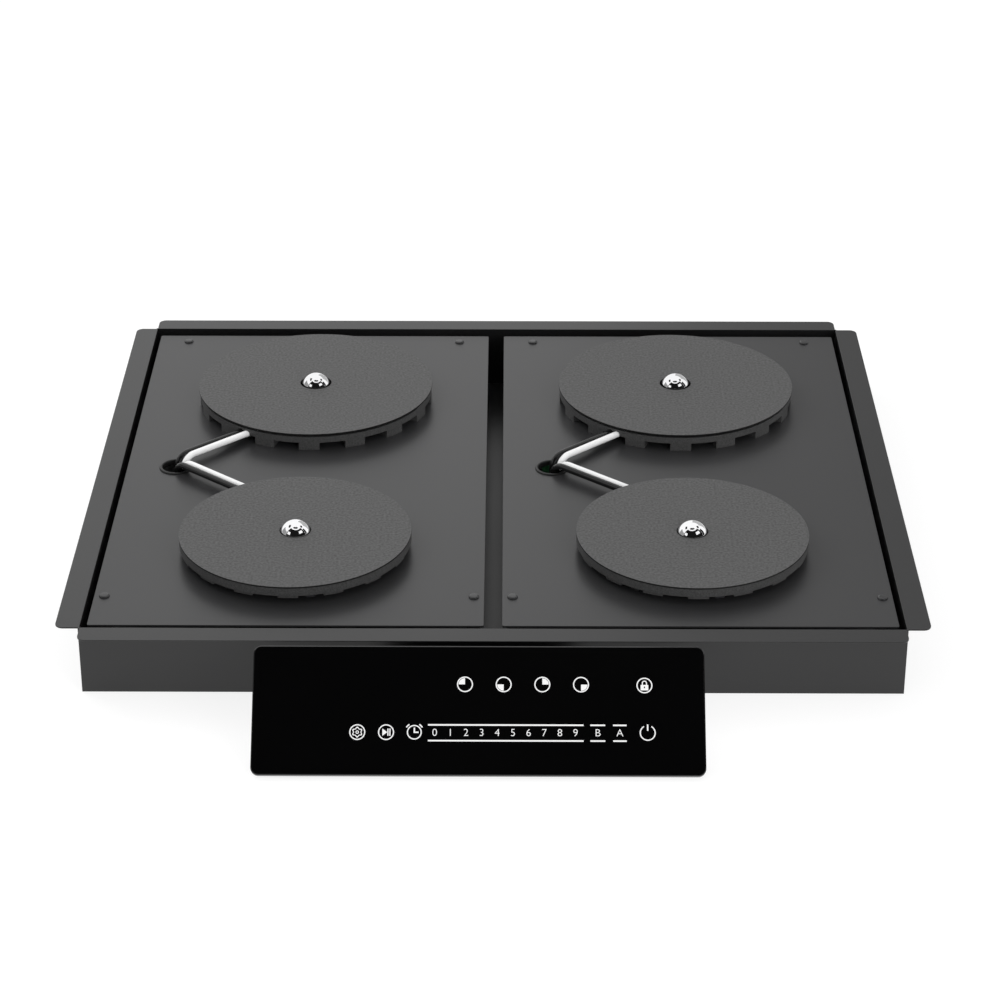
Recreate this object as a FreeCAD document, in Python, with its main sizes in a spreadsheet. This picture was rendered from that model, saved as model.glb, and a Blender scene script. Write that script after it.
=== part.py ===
import FreeCAD, Part
import math
import os
import Sketcher
from FreeCAD import Placement, Rotation, Vector

# A four-zone induction cooktop that hangs under a worktop by the flanges of its sheet-steel tray.
# Two deck plates carry a large and a small coil each, and a touch glass stands in front on a bracket.
# Millimetres; the origin is the centre of the tray's underside, +X right, +Y to the rear, +Z up.

doc = FreeCAD.newDocument("induction_cooktop")
dim = doc.addObject("Spreadsheet::Sheet", "dim")

SIZES = [
    # Tray of sheet steel
    ("tray_width", 600, "outside, without flanges"),
    ("tray_depth", 525, "outside, without flanges"),
    ("tray_height", 53.5, "base to top of flange"),
    ("tray_sheet", 1.0, "sheet thickness"),
    ("flange_width", 17, "wall to flange edge"),
    ("flange_corner", 6, "corner radius of a flange"),
    ("flange_relief", 1.2, "flange end short of the tray corner"),
    ("vent_width", 4, "one exhaust slot"),
    ("vent_height", 22, "one exhaust slot"),
    ("vent_pitch", 9, "slot to slot"),
    ("vent_rise", 14, "slot foot above the base"),
    ("vent_corner", 1.9, "slot end radius"),
    # Deck plates
    ("deck_sheet", 1.5, "plate thickness"),
    ("deck_recess", 2.8, "deck top below flange top"),
    ("deck_gap", 13.4, "between the two decks"),
    ("deck_side_gap", 4.2, "deck to side wall"),
    ("deck_end_gap", 8.7, "deck to front or rear wall"),
    ("deck_corner", 1.5, "corner radius"),
    ("rear_screw_side", 25.4, "side deck edge to rear screw"),
    ("rear_screw_inset", 12.6, "rear deck edge to screw"),
    ("front_screw_side", 7.6, "side deck edge to front screw"),
    ("front_screw_inset", 42, "front deck edge to screw"),
    ("screw_head", 8, "head diameter"),
    ("screw_head_rise", 1.6, "head height"),
    ("screw_head_edge", 0.4, "upright edge of the head"),
    ("screw_shank", 4, "shank diameter"),
    ("screw_length", 10, "shank length"),
    ("screw_play", 0.2, "hole larger than shank, on the radius"),
    ("standoff_width", 9, "pillar diameter"),
    # Coil leads and their grommets
    ("lead_hole_inset", 39.1, "left deck edge to lead hole"),
    ("lead_hole_shift", 1.6, "lead hole in front of the deck middle"),
    ("grommet_bore", 21.6, "inside diameter"),
    ("grommet_neck", 0.9, "wall in the deck hole"),
    ("grommet_lip", 2.6, "wall of the lips"),
    ("grommet_rise", 1.4, "upper lip above the deck"),
    ("grommet_tail", 1.6, "lower lip below the deck"),
    ("lead_width", 5.3, "sleeved wire diameter"),
    ("lead_spacing", 5.6, "wire to wire, on the middles"),
    ("lead_shift", 5.9, "live wires right of the hole centre"),
    ("lead_rise", 7.3, "wire middle above the deck"),
    ("lead_bend", 10.5, "bend radius above the hole"),
    ("rear_lead_entry", 122.4, "degrees from +X to the live wire's hole in the rim"),
    ("front_lead_entry", 116.3, "degrees from +X to the live wire's hole in the rim"),
    ("lead_reach", 10, "wire inside the rim"),
    ("return_setback", 2.1, "return wire behind the live one"),
    ("lead_play", 0.3, "hole wider than wire, on the radius"),
    # Coils
    ("coil_rise", 14.7, "deck to cover top"),
    ("rear_coil_inset", 126.2, "rear deck edge to coil centre"),
    ("front_coil_inset", 118.4, "front deck edge to coil centre"),
    ("rear_cover", 195.5, "cover diameter"),
    ("front_cover", 176.5, "cover diameter"),
    ("cover_sheet", 1.2, "cover thickness"),
    ("rear_cover_gap", 1.9, "rim to cover"),
    ("front_cover_gap", 0.5, "rim to cover"),
    ("rear_band", 5.2, "height of the plain rim"),
    ("front_band", 5.9, "height of the plain rim"),
    ("front_tooth", 2.1, "rib below the rim"),
    ("rim_setback", 0.8, "cover stands out over the rim"),
    ("rim_wall", 2.2, "rim thickness"),
    ("carrier_plate", 1.4, "plate under the winding"),
    ("tooth_angle", 10, "degrees, one rib"),
    ("rib_start", 40, "inner radius of the ribs"),
    ("hub_wall", 4, "around the sensor cup"),
    ("winding_inner", 24, "inner radius of the winding"),
    ("winding_margin", 12, "winding to rim inside"),
    ("wire_width", 3.6, "flat stranded wire"),
    ("wire_gap", 0.9, "turn to turn"),
    ("wire_height", 4, "flat stranded wire"),
    ("ferrite_width", 7, "one bar"),
    ("ferrite_length", 40, "one bar"),
    ("ferrite_height", 4.5, "one bar"),
    ("ferrite_start", 43, "inner end radius"),
    # Sprung temperature sensors
    ("dome_width", 22.8, "dome diameter"),
    ("dome_rise", 8, "dome above the cover"),
    ("dome_wall", 1.2, "pressed shell"),
    ("rear_ring_gap", 1.6, "dome to hole in cover"),
    ("front_ring_gap", 0.6, "dome to hole in cover"),
    ("sensor_play", 0.3, "sliding clearance"),
    ("sensor_travel", 7, "press depth"),
    ("collar_step", 2.2, "collar beyond dome"),
    ("collar_height", 1.2, "collar thickness"),
    ("lip_drop", 3.5, "stop lip below cover"),
    ("lip_sheet", 1.5, "stop lip thickness"),
    ("cup_wall", 2, "sensor cup"),
    ("cup_floor", 1.5, "sensor cup"),
    ("cup_flange", 5, "cup flange under the deck"),
    ("cup_fit", 0.05, "cup in hub"),
    ("cup_wire_hole", 6, "hole in the cup floor"),
    ("spring_wire", 0.8, "wire diameter"),
    ("spring_turns", 4, "active turns"),
    ("spring_play", 0.6, "spring to cup wall"),
    # Cooling fans
    ("fan_inset", 96.5, "front wall to fan centre"),
    ("fan_width", 80, "square frame"),
    ("fan_height", 25, "frame"),
    ("fan_corner", 5, "frame corner radius"),
    ("fan_bore", 76, "frame opening"),
    ("fan_tip_gap", 1.2, "blade tip to frame"),
    ("fan_hole_spread", 71.5, "fixing holes"),
    ("motor_width", 32, "motor plate diameter"),
    ("motor_plate", 3, "motor plate and struts"),
    ("strut_width", 4, "one strut"),
    ("rotor_gap", 1, "rotor to motor plate and to floor"),
    ("rotor_hub", 30, "hub diameter"),
    ("rotor_cap", 2, "hub end wall"),
    ("blade_sheet", 1.8, "blade thickness"),
    ("blade_root", 13, "chord at the hub"),
    ("blade_set", 1.5, "blade root inside the hub's outside"),
    ("blade_tip", 19, "chord at the tip"),
    ("root_pitch", 50, "degrees"),
    ("tip_pitch", 32, "degrees"),
    ("shaft_width", 3, "diameter"),
    ("shaft_play", 0.05, "running clearance"),
    ("shaft_end_play", 0.3, "shaft end to hub"),
    ("rotor_wall", 2, "hub wall"),
    ("rotor_boss", 9, "bearing boss diameter"),
    ("grille_hub", 12, "blank disc radius under the fan"),
    ("grille_ring", 3, "land between slot rings"),
    ("grille_slot", 10, "slot ring width"),
    ("grille_bridge", 10, "degrees between slots"),
    # Power electronics
    ("board_depth", 180, "front to rear"),
    ("board_sheet", 1.6, "circuit board"),
    ("board_rise", 8, "spacer height"),
    ("board_margin", 4, "board edge beyond the wires"),
    ("spacer_width", 7, "spacer diameter"),
    ("spacer_inset", 8, "board edge to spacer"),
    ("sink_width", 110, "heat sink"),
    ("sink_depth", 70, "heat sink"),
    ("sink_height", 30, "heat sink"),
    ("sink_base", 5, "heat sink base"),
    ("fin_sheet", 2, "one fin"),
    ("capacitor_width", 32, "film capacitor"),
    ("capacitor_depth", 16, "film capacitor"),
    ("capacitor_height", 26, "film capacitor"),
    ("capacitor_edge", 1.5, "edge radius"),
    ("capacitor_pitch", 44, "capacitor to capacitor"),
    ("capacitor_inset", 18, "rear board edge to capacitor middle"),
    ("choke_width", 34, "filter choke"),
    ("choke_height", 24, "filter choke"),
    ("choke_window", 12, "opening in the choke core"),
    ("choke_inset", 28, "front board edge to choke middle"),
    # Mains connection
    ("gland_shift", -70, "gland from the tray middle"),
    ("gland_rise", 26, "gland axis above the base"),
    ("gland_bore", 13, "cable diameter"),
    ("gland_thread", 20, "thread diameter"),
    ("gland_nut", 27, "lock nut and body diameter"),
    ("gland_nut_length", 5, "lock nut inside the wall"),
    ("gland_body", 15, "body outside the wall"),
    ("gland_fit", 0.1, "thread in wall"),
    ("terminal_width", 58, "terminal block"),
    ("terminal_depth", 24, "terminal block"),
    ("terminal_height", 20, "terminal block"),
    ("terminal_hole", 6, "wire entry"),
    ("terminal_pitch", 11, "entry to entry"),
    ("terminal_inset", 46, "rear wall to block middle"),
    # Touch control
    ("panel_tilt", 45, "degrees from level"),
    ("panel_shift", -9.5, "panel middle from tray middle"),
    ("panel_reach", 116.3, "front wall to lower edge of glass"),
    ("panel_lift", 4, "lower edge of glass above the base"),
    ("glass_width", 317, "glass"),
    ("glass_height", 92.7, "glass along its slope"),
    ("glass_sheet", 4, "glass"),
    ("glass_corner", 5.5, "glass"),
    ("glass_chamfer", 0.7, "ground front edge"),
    ("housing_rise", 13, "glass edge to housing"),
    ("housing_side", 9, "glass side edge to housing"),
    ("housing_depth", 13, "behind the glass"),
    ("housing_wall", 2, "moulded wall"),
    ("housing_corner", 4, "corner radius"),
    ("housing_edge", 1.5, "rounded back edge"),
    ("touch_margin", 3, "touch board inside the housing walls"),
    ("touch_sheet", 1.6, "touch board"),
    ("boss_width", 8, "screw boss in the housing"),
    # Bracket from the tray to the control
    ("bracket_width", 140, "folded strip"),
    ("bracket_sheet", 2, "folded strip"),
    ("bracket_lift", 8, "shelf above the base"),
    ("bracket_wall", 26, "plate on the tray wall"),
    ("bracket_slope", 74, "glass edge to upper end of the plate"),
    ("bracket_hole_spread", 100, "between screws"),
    ("bracket_hole_drop", 9, "upper end to wall screws"),
    ("bracket_screw", 5, "shank length"),
]
for row, (alias, value, note) in enumerate(SIZES, start=1):
    dim.set(f"A{row}", alias.replace("_", " "))
    dim.set(f"B{row}", str(value))
    dim.setAlias(f"B{row}", alias)
    dim.set(f"C{row}", note)
doc.recompute()

# Counts
TOOTH_COUNT = 16
FERRITE_COUNT = 8
BLADE_COUNT = 7
STRUT_COUNT = 4
FIN_COUNT = 11
VENT_COUNT = 12
GRILLE_COUNT = 6
TERMINAL_COUNT = 5
GAP_POINTS = 9

# Two faces nearer than this, in millimetres, count as one level
TOUCH = 0.001

# Largest relative error of a wound or swept wire's volume
VOLUME_ERROR = 0.005

SIDES = ("left", "right")
KINDS = ("rear", "front")

# Places that several pieces share, as expressions of the sizes
tray_half_width = "(dim.tray_width / 2)"
tray_half_depth = "(dim.tray_depth / 2)"
deck_top = "(dim.tray_height - dim.deck_recess)"
deck_low = f"({deck_top} - dim.deck_sheet)"
deck_half_width = "((dim.tray_width / 2 - dim.tray_sheet - dim.deck_side_gap - dim.deck_gap / 2) / 2)"
deck_half_depth = f"({tray_half_depth} - dim.tray_sheet - dim.deck_end_gap)"
deck_x = {
    "left": f"(-{deck_half_width} - dim.deck_gap / 2)",
    "right": f"({deck_half_width} + dim.deck_gap / 2)",
}
coil_y = {
    "rear": f"({deck_half_depth} - dim.rear_coil_inset)",
    "front": f"(dim.front_coil_inset - {deck_half_depth})",
}
lead_hole_x = f"(dim.lead_hole_inset - {deck_half_width})"
lead_hole_y = "(-dim.lead_hole_shift)"
fan_y = f"(dim.tray_sheet + dim.fan_inset - {tray_half_depth})"

# Heights inside a coil, above the deck
cover_low = "(dim.coil_rise - dim.cover_sheet)"
lip_low = f"({cover_low} - dim.lip_drop - dim.lip_sheet)"
rim_top = {kind: f"({cover_low} - dim.{kind}_cover_gap)" for kind in KINDS}
band_low = {kind: f"({rim_top[kind]} - dim.{kind}_band)" for kind in KINDS}
tooth_low = {"rear": "0", "front": f"({band_low['front']} - dim.front_tooth)"}

# Radii inside a coil
rim_radius = {kind: f"(dim.{kind}_cover / 2 - dim.rim_setback)" for kind in KINDS}
sensor_hole = {kind: f"(dim.dome_width / 2 + dim.{kind}_ring_gap)" for kind in KINDS}
collar_radius = "(dim.dome_width / 2 + dim.collar_step)"
cup_inner = f"({collar_radius} + dim.sensor_play)"
cup_outer = f"({cup_inner} + dim.cup_wall)"
hub_bore = f"({cup_outer} + dim.cup_fit)"
hub_radius = f"({hub_bore} + dim.hub_wall)"

# Heights inside a sensor, above the deck
collar_low = f"({lip_low} - dim.sensor_play - dim.collar_height)"
spring_solid = "(dim.spring_wire * (dim.spring_turns + 1))"
cup_floor_top = f"({collar_low} - dim.sensor_travel - {spring_solid})"

parts = []


def number(expression):
    """Value of an expression of the sizes."""
    return float(dim.evalExpression(expression))


def new_body(label, x="0", y="0", z="0", turn=Rotation()):
    """A body that becomes one node, at a place given by expressions."""
    body = doc.addObject("PartDesign::Body", label)
    body.Label = label
    body.Placement = Placement(Vector(), turn)
    for axis, expression in zip("xyz", (x, y, z)):
        body.setExpression(f"Placement.Base.{axis}", expression)
    parts.append(body)
    return body


def fixed_body(label, place):
    """A body that joins a group, at a placement worked out from the sizes."""
    body = doc.addObject("PartDesign::Body", label)
    body.Label = label
    body.Placement = place
    return body


def new_sketch(body, name, plane="XY_Plane", x="0", y="0", lift="0"):
    """A sketch on one of the body's own planes, with its origin moved by expressions."""
    sketch = body.newObject("Sketcher::SketchObject", f"{body.Name}_{name}")
    support = next(item for item in body.Origin.OriginFeatures if item.Role == plane)
    sketch.AttachmentSupport = [(support, "")]
    sketch.MapMode = "FlatFace"
    for axis, expression in zip("xyz", (x, y, lift)):
        sketch.setExpression(f"AttachmentOffset.Base.{axis}", expression)
    return sketch


def bind(sketch, constraint, expression):
    """Add a dimension to a sketch and tie it to an expression."""
    index = sketch.addConstraint(constraint)
    sketch.setExpression(f"Constraints[{index}]", expression)


def arc_between(start, end, radius, sense):
    """Arc of under a half circle; sense 1 turns left on the way from start to end, -1 turns right."""
    chord = end - start
    side = Vector(-chord.y, chord.x, 0).normalize() * sense
    depth = math.sqrt(radius ** 2 - (chord.Length / 2) ** 2)
    centre = (start + end) / 2 + side * depth
    circle = Part.Circle(centre, Vector(0, 0, 1), radius)
    first, last = (start, end) if sense > 0 else (end, start)
    return Part.ArcOfCircle(circle, circle.parameter(first), circle.parameter(last))


def outline(sketch, points, arcs=None):
    """Closed outline through points given as expressions; arcs maps an edge to its radius and sense."""
    arcs = arcs or {}
    spots = [Vector(number(x), number(y), 0) for x, y in points]
    ends = []
    for index, spot in enumerate(spots):
        following = spots[(index + 1) % len(spots)]
        if index in arcs:
            radius, sense = arcs[index]
            edge = sketch.addGeometry(arc_between(spot, following, number(radius), sense), False)
            ends.append((edge, 1, 2) if sense > 0 else (edge, 2, 1))
        else:
            edge = sketch.addGeometry(Part.LineSegment(spot, following), False)
            ends.append((edge, 1, 2))
    constraints = []
    for index, (edge, start, end) in enumerate(ends):
        next_edge, next_start, _ = ends[(index + 1) % len(ends)]
        constraints.append(Sketcher.Constraint("Coincident", edge, end, next_edge, next_start))
    sketch.addConstraint(constraints)
    for index, (edge, start, end) in enumerate(ends):
        x, y = points[index]
        bind(sketch, Sketcher.Constraint("DistanceX", -1, 1, edge, start, spots[index].x), x)
        bind(sketch, Sketcher.Constraint("DistanceY", -1, 1, edge, start, spots[index].y), y)
        if index in arcs:
            radius = arcs[index][0]
            bind(sketch, Sketcher.Constraint("Radius", edge, number(radius)), radius)


def rectangle(sketch, x_low, y_low, x_high, y_high):
    """Sharp-cornered rectangle between expressions."""
    outline(sketch, [(x_low, y_low), (x_high, y_low), (x_high, y_high), (x_low, y_high)])


def rounded_rectangle(sketch, x_low, y_low, x_high, y_high, radius):
    """Rectangle between expressions with four equal corner arcs."""
    points = [
        (f"{x_low} + {radius}", y_low), (f"{x_high} - {radius}", y_low),
        (x_high, f"{y_low} + {radius}"), (x_high, f"{y_high} - {radius}"),
        (f"{x_high} - {radius}", y_high), (f"{x_low} + {radius}", y_high),
        (x_low, f"{y_high} - {radius}"), (x_low, f"{y_low} + {radius}"),
    ]
    outline(sketch, points, {edge: (radius, 1) for edge in (1, 3, 5, 7)})


def sector(sketch, inner, outer, first, last):
    """Ring sector between two radii and two angles in degrees."""
    points = [
        (f"{inner} * cos({first})", f"{inner} * sin({first})"),
        (f"{outer} * cos({first})", f"{outer} * sin({first})"),
        (f"{outer} * cos({last})", f"{outer} * sin({last})"),
        (f"{inner} * cos({last})", f"{inner} * sin({last})"),
    ]
    outline(sketch, points, {1: (outer, 1), 3: (inner, -1)})


def circle(sketch, x, y, radius):
    """Circle whose centre and radius are expressions."""
    centre = Vector(number(x), number(y), 0)
    edge = sketch.addGeometry(Part.Circle(centre, Vector(0, 0, 1), number(radius)), False)
    bind(sketch, Sketcher.Constraint("DistanceX", -1, 1, edge, 3, centre.x), x)
    bind(sketch, Sketcher.Constraint("DistanceY", -1, 1, edge, 3, centre.y), y)
    bind(sketch, Sketcher.Constraint("Radius", edge, number(radius)), radius)


def pad(body, sketch, length, midplane=False, reverse=False):
    """Raise a sketch into a solid along its normal."""
    feature = body.newObject("PartDesign::Pad", f"{sketch.Name}_pad")
    feature.Profile = sketch
    feature.setExpression("Length", length)
    feature.Midplane = midplane
    feature.Reversed = reverse
    return feature


def pocket(body, sketch, length, reverse=False):
    """Cut a sketch against its normal, or along it when reversed, and make sure that it cuts."""
    doc.recompute()
    volume = body.Shape.Volume
    feature = body.newObject("PartDesign::Pocket", f"{sketch.Name}_cut")
    feature.Profile = sketch
    feature.setExpression("Length", length)
    feature.Reversed = reverse
    doc.recompute()
    if not body.Shape.Volume < volume:
        raise RuntimeError(f"{feature.Name} cuts nothing")
    return feature


def revolve(body, sketch):
    """Turn a half section about the vertical axis of its sketch."""
    feature = body.newObject("PartDesign::Revolution", f"{sketch.Name}_turn")
    feature.Profile = sketch
    feature.ReferenceAxis = (sketch, ["V_Axis"])
    feature.Angle = 360
    return feature


def polar(body, feature, sketch, count):
    """Repeat a feature round the normal of a level sketch."""
    pattern = body.newObject("PartDesign::PolarPattern", f"{feature.Name}_ring")
    pattern.Originals = [feature]
    pattern.Axis = (sketch, ["N_Axis"])
    pattern.Angle = 360
    pattern.Occurrences = count
    body.Tip = pattern
    return pattern


def linear(body, feature, sketch, length, count):
    """Repeat a feature along the horizontal axis of its sketch."""
    pattern = body.newObject("PartDesign::LinearPattern", f"{feature.Name}_row")
    pattern.Originals = [feature]
    pattern.Direction = (sketch, ["H_Axis"])
    pattern.setExpression("Length", length)
    pattern.Occurrences = count
    body.Tip = pattern
    return pattern


def dress(body, feature, kind, size, height):
    """Round or chamfer the edges of a feature's level face at a height in its body."""
    doc.recompute()
    level = number(height)
    faces = []
    for index, face in enumerate(feature.Shape.Faces, start=1):
        if abs(face.BoundBox.ZMin - level) < TOUCH and abs(face.BoundBox.ZMax - level) < TOUCH:
            faces.append(f"Face{index}")
    dressing = body.newObject(f"PartDesign::{kind}", f"{feature.Name}_edge")
    dressing.Base = (feature, faces)
    dressing.setExpression("Radius" if kind == "Fillet" else "Size", size)
    return dressing


def group(label, members):
    """Several separate solids in one node."""
    compound = doc.addObject("Part::Compound", label)
    compound.Label = label
    compound.Links = members
    parts.append(compound)
    return compound


def at(x, y, z, turn=Rotation()):
    """Placement worked out from three expressions."""
    return Placement(Vector(number(x), number(y), number(z)), turn)


def domed_screw(label, length, place):
    """Screw with a low domed head on the plane z = 0 of its placement, and its shank below."""
    body = fixed_body(label, place)
    section = new_sketch(body, "section", "XZ_Plane")
    head = "(dim.screw_head / 2)"
    shank = "dim.screw_shank / 2"
    crown = "(dim.screw_head_rise - dim.screw_head_edge)"
    points = [
        ("0", f"-{length}"), (shank, f"-{length}"), (shank, "0"), (head, "0"),
        (head, "dim.screw_head_edge"), ("0", "dim.screw_head_rise"),
    ]
    outline(section, points, {4: (f"(({head} ^ 2 + {crown} ^ 2) / (2 * {crown}))", 1)})
    revolve(body, section)
    return body


# Tray: a floor sheet with fan grilles and four walls folded out into flanges, welded at floor and corners
hollow_x = f"({tray_half_width} - dim.tray_sheet)"
hollow_y = f"({tray_half_depth} - dim.tray_sheet)"
screw_hole = "(dim.screw_shank / 2 + dim.screw_play)"

floor = new_body("tray_floor")
sheet = new_sketch(floor, "sheet")
rectangle(sheet, f"-{hollow_x}", f"-{hollow_y}", hollow_x, hollow_y)
pad(floor, sheet, "dim.tray_sheet")
slot_half_angle = f"((360 / {GRILLE_COUNT} - dim.grille_bridge) / 2)"
outer_slot = "(dim.grille_hub + dim.grille_slot + dim.grille_ring)"
for side in SIDES:
    grille = new_sketch(floor, f"grille_{side}", x=deck_x[side], y=fan_y)
    for start in ("dim.grille_hub", outer_slot):
        sector(grille, start, f"({start} + dim.grille_slot)", f"-{slot_half_angle}", slot_half_angle)
    polar(floor, pocket(floor, grille, "dim.tray_sheet", reverse=True), grille, GRILLE_COUNT)


def tray_wall(label, along_x, sign):
    """One wall with its flange; the front and rear walls cover the ends of the side walls."""
    body = new_body(label)
    reach, span = (tray_half_width, hollow_y) if along_x else (tray_half_depth, tray_half_width)
    inner = f"{sign} * ({reach} - dim.tray_sheet)"
    outer = f"{sign} * {reach}"
    upright = [(inner, f"-{span}"), (outer, f"-{span}"), (outer, span), (inner, span)]
    end = f"({tray_half_depth if along_x else tray_half_width} - dim.flange_relief)"
    shoulder = f"{sign} * ({reach} + dim.flange_width - dim.flange_corner)"
    edge = f"{sign} * ({reach} + dim.flange_width)"
    flange = [
        (inner, f"-{end}"), (shoulder, f"-{end}"), (edge, f"dim.flange_corner - {end}"),
        (edge, f"{end} - dim.flange_corner"), (shoulder, end), (inner, end),
    ]
    if not along_x:
        upright, flange = ([(y, x) for x, y in points] for points in (upright, flange))
    foot = new_sketch(body, "foot")
    outline(foot, upright)
    pad(body, foot, "dim.tray_height")
    tab = new_sketch(body, "flange", lift="dim.tray_height - dim.tray_sheet")
    sense = sign if along_x else -sign
    outline(tab, flange, {corner: ("dim.flange_corner", sense) for corner in (1, 3)})
    pad(body, tab, "dim.tray_sheet")
    return body


tray_wall("tray_wall_left", True, -1)
tray_wall("tray_wall_right", True, 1)
front_wall = tray_wall("tray_wall_front", False, -1)
rear_wall = tray_wall("tray_wall_rear", False, 1)

for side in SIDES:
    vents = new_sketch(rear_wall, f"vents_{side}", "XZ_Plane", x=deck_x[side], lift=f"-{tray_half_depth}")
    vent_row = f"(dim.vent_pitch * {VENT_COUNT - 1})"
    vent_start = f"(-{vent_row} / 2 - dim.vent_width / 2)"
    rounded_rectangle(vents, vent_start, "dim.vent_rise", f"{vent_start} + dim.vent_width",
                      "(dim.vent_rise + dim.vent_height)", "dim.vent_corner")
    linear(rear_wall, pocket(rear_wall, vents, "dim.tray_sheet", reverse=True), vents, vent_row, VENT_COUNT)
inlet = new_sketch(rear_wall, "inlet", "XZ_Plane", lift=f"-{tray_half_depth}")
circle(inlet, "dim.gland_shift", "dim.gland_rise", "dim.gland_thread / 2 + dim.gland_fit")
pocket(rear_wall, inlet, "dim.tray_sheet", reverse=True)
wall_screw_z = "(dim.bracket_lift + dim.bracket_wall - dim.bracket_hole_drop)"
wall_screw_x = [f"(dim.panel_shift {sign} dim.bracket_hole_spread / 2)" for sign in "-+"]
wall_holes = new_sketch(front_wall, "bracket_holes", "XZ_Plane", lift=tray_half_depth)
for x in wall_screw_x:
    circle(wall_holes, x, wall_screw_z, screw_hole)
pocket(front_wall, wall_holes, "dim.tray_sheet")

# Decks: flat plates screwed down on pillars, with a grommet for the coil leads
screw_spots = []
for sign in "-+":
    screw_spots.append((f"({sign}({deck_half_width} - dim.rear_screw_side))",
                        f"({deck_half_depth} - dim.rear_screw_inset)"))
    screw_spots.append((f"({sign}({deck_half_width} - dim.front_screw_side))",
                        f"(dim.front_screw_inset - {deck_half_depth})"))
grommet_neck = "(dim.grommet_bore / 2 + dim.grommet_neck)"
for side in SIDES:
    deck = new_body(f"deck_{side}", x=deck_x[side], z=deck_low)
    plate = new_sketch(deck, "plate")
    rounded_rectangle(plate, f"-{deck_half_width}", f"-{deck_half_depth}", deck_half_width,
                      deck_half_depth, "dim.deck_corner")
    for x, y in screw_spots:
        circle(plate, x, y, screw_hole)
    circle(plate, lead_hole_x, lead_hole_y, grommet_neck)
    for kind in KINDS:
        circle(plate, "0", coil_y[kind], hub_bore)
    pad(deck, plate, "dim.deck_sheet")


def standoff(label, place):
    """Pillar from the tray floor to the deck with a blind screw hole in its top."""
    body = fixed_body(label, place)
    section = new_sketch(body, "section", "XZ_Plane")
    height = f"({deck_low} - dim.tray_sheet)"
    hole_floor = f"({height} - dim.screw_length)"
    radius = "dim.standoff_width / 2"
    points = [("0", "0"), (radius, "0"), (radius, height), (screw_hole, height),
              (screw_hole, hole_floor), ("0", hole_floor)]
    outline(section, points)
    revolve(body, section)
    return body


standoffs = []
deck_screws = []
for side in SIDES:
    for index, (x, y) in enumerate(screw_spots):
        spot = f"({deck_x[side]} + {x})"
        standoffs.append(standoff(f"standoff_{side}_{index}", at(spot, y, "dim.tray_sheet")))
        deck_screws.append(domed_screw(f"deck_screw_{side}_{index}", "dim.screw_length",
                                     at(spot, y, deck_top)))
group("deck_standoffs", standoffs)
group("deck_screws", deck_screws)

grommets = []
for side in SIDES:
    grommet = fixed_body(f"grommet_{side}", at(f"{deck_x[side]} + {lead_hole_x}", lead_hole_y, deck_top))
    section = new_sketch(grommet, "section", "XZ_Plane")
    bore = "dim.grommet_bore / 2"
    lip = f"({bore} + dim.grommet_lip)"
    round_low = "(dim.grommet_rise - dim.grommet_lip / 2)"
    tail = "(-dim.deck_sheet - dim.grommet_tail)"
    points = [
        (bore, tail), (lip, tail), (lip, "-dim.deck_sheet"), (grommet_neck, "-dim.deck_sheet"),
        (grommet_neck, "0"), (lip, "0"), (lip, round_low),
        (f"{bore} + dim.grommet_lip / 2", "dim.grommet_rise"), (bore, round_low),
    ]
    outline(section, points, {edge: ("dim.grommet_lip / 2", 1) for edge in (6, 7)})
    revolve(grommet, section)
    grommets.append(grommet)
group("grommets", grommets)


# Coil carriers: a moulded plate with hub, rim and radial ribs; ferrite bars lie between the ribs
def lead_routes(kind):
    """Corners of a coil's live and return wire, seen from the deck's middle at deck height."""
    turn = {"rear": 1, "front": -1}[kind]
    level = number("dim.lead_rise")
    riser = Vector(number(f"{lead_hole_x} + dim.lead_shift"),
                   number(f"{lead_hole_y} + {turn} * dim.lead_spacing / 2"), level)
    angle = math.radians(-turn * number(f"dim.{kind}_lead_entry"))
    radius = number(rim_radius[kind])
    entry = Vector(radius * math.cos(angle), number(coil_y[kind]) + radius * math.sin(angle), level)
    heading = (entry - riser).normalize()
    board_height = number(f"dim.tray_sheet + dim.board_rise + dim.board_sheet - {deck_top}")
    foot = Vector(riser.x, riser.y, board_height)
    live = [foot, riser, entry + heading * number("dim.lead_reach")]
    aside = Vector(-heading.y, heading.x, 0) * turn * number("dim.lead_spacing")
    step = aside - heading * number("dim.return_setback")
    return live, [corner + step for corner in live]


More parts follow.
